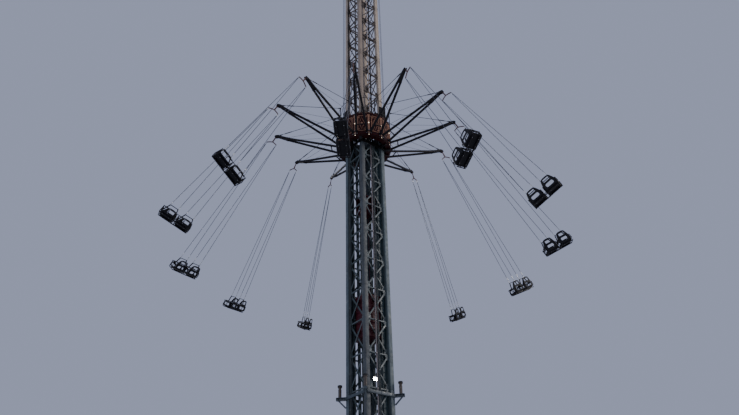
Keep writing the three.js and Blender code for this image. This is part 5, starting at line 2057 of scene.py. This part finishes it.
@builds(dark_paint)
def lamp_housing(shape):
    body = within(LAMP_FRONT, LAMP_BACK, 0.014)
    slab(shape, (lamp_low.x, lamp_high.x), body, (LAMP_FOOT, LAMP_HEAD), 0.008)
    for fin in range(9):
        across = about(lamp_low.x + 0.02 + fin * 0.020, 0.002)
        slab(shape, across, (LAMP_BACK - 0.018, LAMP_BACK), within(LAMP_FOOT, LAMP_HEAD, 0.01))
    bezel = (
        ((lamp_low.x, lamp_high.x), (LAMP_FOOT, LAMP_FOOT + 0.012)),
        ((lamp_low.x, lamp_high.x), (LAMP_HEAD - 0.012, LAMP_HEAD)),
        ((lamp_low.x, lamp_low.x + 0.012), (LAMP_FOOT, LAMP_HEAD)),
        ((lamp_high.x - 0.012, lamp_high.x), (LAMP_FOOT, LAMP_HEAD)),
    )
    for xs, zs in bezel:
        slab(shape, xs, (LAMP_FRONT, LAMP_FRONT + 0.018), zs, 0.002)
    arm, bracket = (LAMP_HEAD - 0.03, lamp_high.z), (lamp_high.z - 0.07, lamp_high.z)
    slab(shape, about(LAMP_MIDDLE, 0.016), (LAMP_BACK - 0.016, LAMP_BACK + 0.003), arm, 0.003)
    slab(shape, about(LAMP_MIDDLE, 0.034), (LAMP_BACK - 0.006, LAMP_BACK + 0.003), bracket, 0.002)


@builds(lamp_glass)
def lamp_pane(shape):
    xs, zs = within(lamp_low.x, lamp_high.x, 0.011), within(LAMP_FOOT, LAMP_HEAD, 0.011)
    slab(shape, xs, (LAMP_FRONT + 0.006, LAMP_FRONT + 0.015), zs, 0.002)


lamp = joined("work_light", [lamp_housing(), lamp_pane()])
place_on(lamp, "tower", "lamp_glass", "floodlight")
print("lamp faces:", len(lamp.data.polygons))

# %% [markdown]
# ## The head with its sheaves
#
# The picture cuts the tower off, so the head is worked out from what the ropes need: a frame on the legs,
# two girders on the diagonal, and four grooved sheaves between their cheeks. A sheave is turned, so its rim
# with the rope groove is a lathe outline; the cheeks and girders are plate.

# %% Build the head
head_low, head_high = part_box("head_frame")
HEAD_HALF = head_high.x
HEAD_TOP = head_low.z + 0.18
AXLE = head_low.z + 0.47
SHEAVE_PLACES = (-0.7927, -0.31, 0.31, 0.7927)


@builds(head_paint)
def head_steel(shape):
    for spot in SIDES:
        for low, high in ((head_low.z, head_low.z + 0.014), (HEAD_TOP - 0.014, HEAD_TOP)):
            slab(shape, about(0, HEAD_HALF), (-HEAD_HALF, -HEAD_HALF + 0.26), (low, high), 0.002, spot)
        inside = within(head_low.z, HEAD_TOP, 0.01)
        for web in (HEAD_HALF - 0.03, HEAD_HALF - 0.23):
            slab(shape, about(0, HEAD_HALF - 0.01), about(-web, 0.006), inside, 0, spot)
        for across in (-0.60, -0.30, 0.0, 0.30, 0.60):
            deep = (-HEAD_HALF + 0.004, -HEAD_HALF + 0.03)
            slab(shape, about(across, 0.005), deep, inside, 0, spot)
    for sign in (-1, 1):
        girder = sign * 0.09
        for low, high, half in ((-0.038, -0.022, 0.020), (0.146, 0.160, 0.020), (-0.03, 0.15, 0.006)):
            heights = (HEAD_TOP + low, HEAD_TOP + high)
            slab(shape, about(0, 1.043), about(girder, half), heights, 0.002, DIAGONAL)
        for place in SHEAVE_PLACES:
            cheek = sign * 0.075
            outline = [(-0.075, HEAD_TOP + 0.02), (0.075, HEAD_TOP + 0.02), (0.045, AXLE + 0.03),
                       (-0.045, AXLE + 0.03)]
            spot = DIAGONAL @ moved(0, cheek, 0) @ UPRIGHT
            plate(shape, [(place + across, up) for across, up in outline], 0.022, spot, 0.003)


@builds(oiled_steel, 30)
def sheaves(shape):
    half = [(0.2495, 0.003), (0.236, 0.004), (0.236, 0.018), (0.2495, 0.028), (0.2495, 0.040),
            (0.210, 0.040), (0.205, 0.020), (0.080, 0.020), (0.075, 0.052), (0.035, 0.052)]
    outline = [(radius, -across) for radius, across in reversed(half)] + half
    for place in SHEAVE_PLACES:
        spot = DIAGONAL @ moved(place, 0, AXLE) @ UPRIGHT
        lathe(shape, outline, 48, spot)


@builds(zinc)
def sheave_axles(shape):
    for place in SHEAVE_PLACES:
        start, end = DIAGONAL @ Vector((place, -0.088, AXLE)), DIAGONAL @ Vector((place, 0.088, AXLE))
        tube(shape, start, end, 0.034, 20)
        for one, other in ((start, end), (end, start)):
            way = (other - one).normalized()
            tube(shape, one - way * 0.006, one + way * 0.004, 0.050, 20)


def head_bolts():
    for spot in SIDES:
        for across, along in product((-0.655, -0.545), repeat=2):
            yield spot @ Vector((across, along, HEAD_TOP)), (0, 0, 1)
        for across in (-0.45, -0.15, 0.15, 0.45):
            yield spot @ Vector((across, -HEAD_HALF + 0.10, HEAD_TOP)), (0, 0, 1)


head = joined("tower_head", [
    head_steel(), sheaves(), sheave_axles(),
    bolts_at(head_bolts(), 0.016, 0.018),
])
place_on(head, "tower", "head_paint", "head_frame")
print("head faces:", len(head.data.polygons))

# %% [markdown]
# ## The base
#
# The foot of the tower is below the picture too. A tall tower that is moved from fair to fair stands on
# crossed beams with round foot plates, and raking struts brace its legs, so that is what is built: beams as
# welded sections with ribs, ribbed foot plates at their ends, and struts that end in a pad and a flange.

# %% Build one leg of the base and turn it four times
BEAM_REACH = 2.90
BEAM_TOP = TOWER_FOOT - 0.0003
BEAM_LOW = 0.03
FOOT_AT = 2.75
STRUT_FOOT = Vector((2.60, 0, 0.29))
STRUT_HEAD = Vector((0.8485, 0, 3.40))


@builds(base_paint)
def base_leg(shape):
    for low, high in ((BEAM_LOW, BEAM_LOW + 0.02), (BEAM_TOP - 0.02, BEAM_TOP)):
        slab(shape, (0.0, BEAM_REACH), about(0, 0.15), (low, high), 0.003, DIAGONAL)
    inside = within(BEAM_LOW, BEAM_TOP, 0.01)
    for web in (-0.11, 0.11):
        slab(shape, (0.0, BEAM_REACH - 0.01), about(web, 0.007), inside, 0, DIAGONAL)
    for reach, sign in product((0.35, 0.75, 1.15, 1.55, 1.95, 2.35), (-1, 1)):
        lip = sorted((sign * 0.11, sign * 0.148))
        slab(shape, about(reach, 0.006), lip, inside, 0, DIAGONAL)
    slab(shape, (BEAM_REACH - 0.016, BEAM_REACH), about(0, 0.15), (BEAM_LOW, BEAM_TOP), 0.003, DIAGONAL)
    foot = DIAGONAL @ Vector((FOOT_AT, 0, 0))
    outline = [(0.004, 0.0), (0.328, 0.0), (0.328, 0.030), (0.310, 0.048), (0.004, 0.050)]
    lathe(shape, outline, 48, Matrix.Translation(foot))
    for step in range(8):
        spot = Matrix.Translation(foot) @ turned(math.tau * (step + 0.5) / 8)
        rib = [(0.14, 0.045), (0.30, 0.045), (0.14, 0.12)]
        plate(shape, rib, 0.010, spot @ UPRIGHT)


@builds(base_paint)
def base_strut(shape):
    side = DIAGONAL @ Vector((0, 1, 0))
    low, high = DIAGONAL @ STRUT_FOOT, DIAGONAL @ STRUT_HEAD
    way = (high - low).normalized()
    stop = high - way * 0.33
    beam(shape, low + way * 0.02, stop, 0.146, 0.116, side, 0.012)
    beam(shape, stop - way * 0.03, stop + way * 0.002, 0.19, 0.16, side, 0.003)
    pad = DIAGONAL @ moved(STRUT_FOOT.x, 0, BEAM_TOP)
    slab(shape, (-0.16, 0.13), about(0, 0.13), (0.0, 0.018), 0.003, pad)
    for across in (-0.045, 0.045):
        rib = DIAGONAL @ moved(STRUT_FOOT.x, across, BEAM_TOP) @ UPRIGHT
        plate(shape, [(-0.13, 0.01), (0.10, 0.01), (-0.10, 0.16)], 0.012, rib)
    shoe = DIAGONAL @ moved(0.994, 0, 0)
    slab(shape, (-0.008, 0.012), about(0, 0.075), (2.62, 3.28), 0.003, shoe)


@builds(base_paint)
def base_middle(shape):
    slab(shape, about(0, 0.95), about(0, 0.95), (0.0, 0.05), 0.006)
    for spot in SIDES:
        slab(shape, about(0, 0.62), (-0.72, -0.706), (0.045, BEAM_TOP - 0.01), 0.002, spot)
        for across in (-0.4, 0.0, 0.4):
            slab(shape, about(across, 0.006), (-0.80, -0.718), (0.045, 0.20), 0, spot)


def base_bolts():
    for side in SIDES:
        spot = side @ DIAGONAL
        for step in range(8):
            yield spot @ Vector((*on_circle(FOOT_AT, 0, 0.26, math.tau * step / 8), 0.050)), (0, 0, 1)
        for x, y in product((-0.14, 0.11), (-0.11, 0.11)):
            yield spot @ Vector((STRUT_FOOT.x + x, y, BEAM_TOP + 0.018)), (0, 0, 1)
        for reach, y in product((0.5, 0.9, 1.3), (-0.13, 0.13)):
            yield spot @ Vector((reach + 0.1, y, BEAM_TOP - 0.002)), (0, 0, 1)


base = joined("base", [
    round_the_axis(base_leg(), 4),
    round_the_axis(base_strut(), 4),
    base_middle(),
    bolts_at(base_bolts(), 0.018, 0.022),
])
place_on(base, "tower", "base_paint", "base_frame")
print("base faces:", len(base.data.polygons))
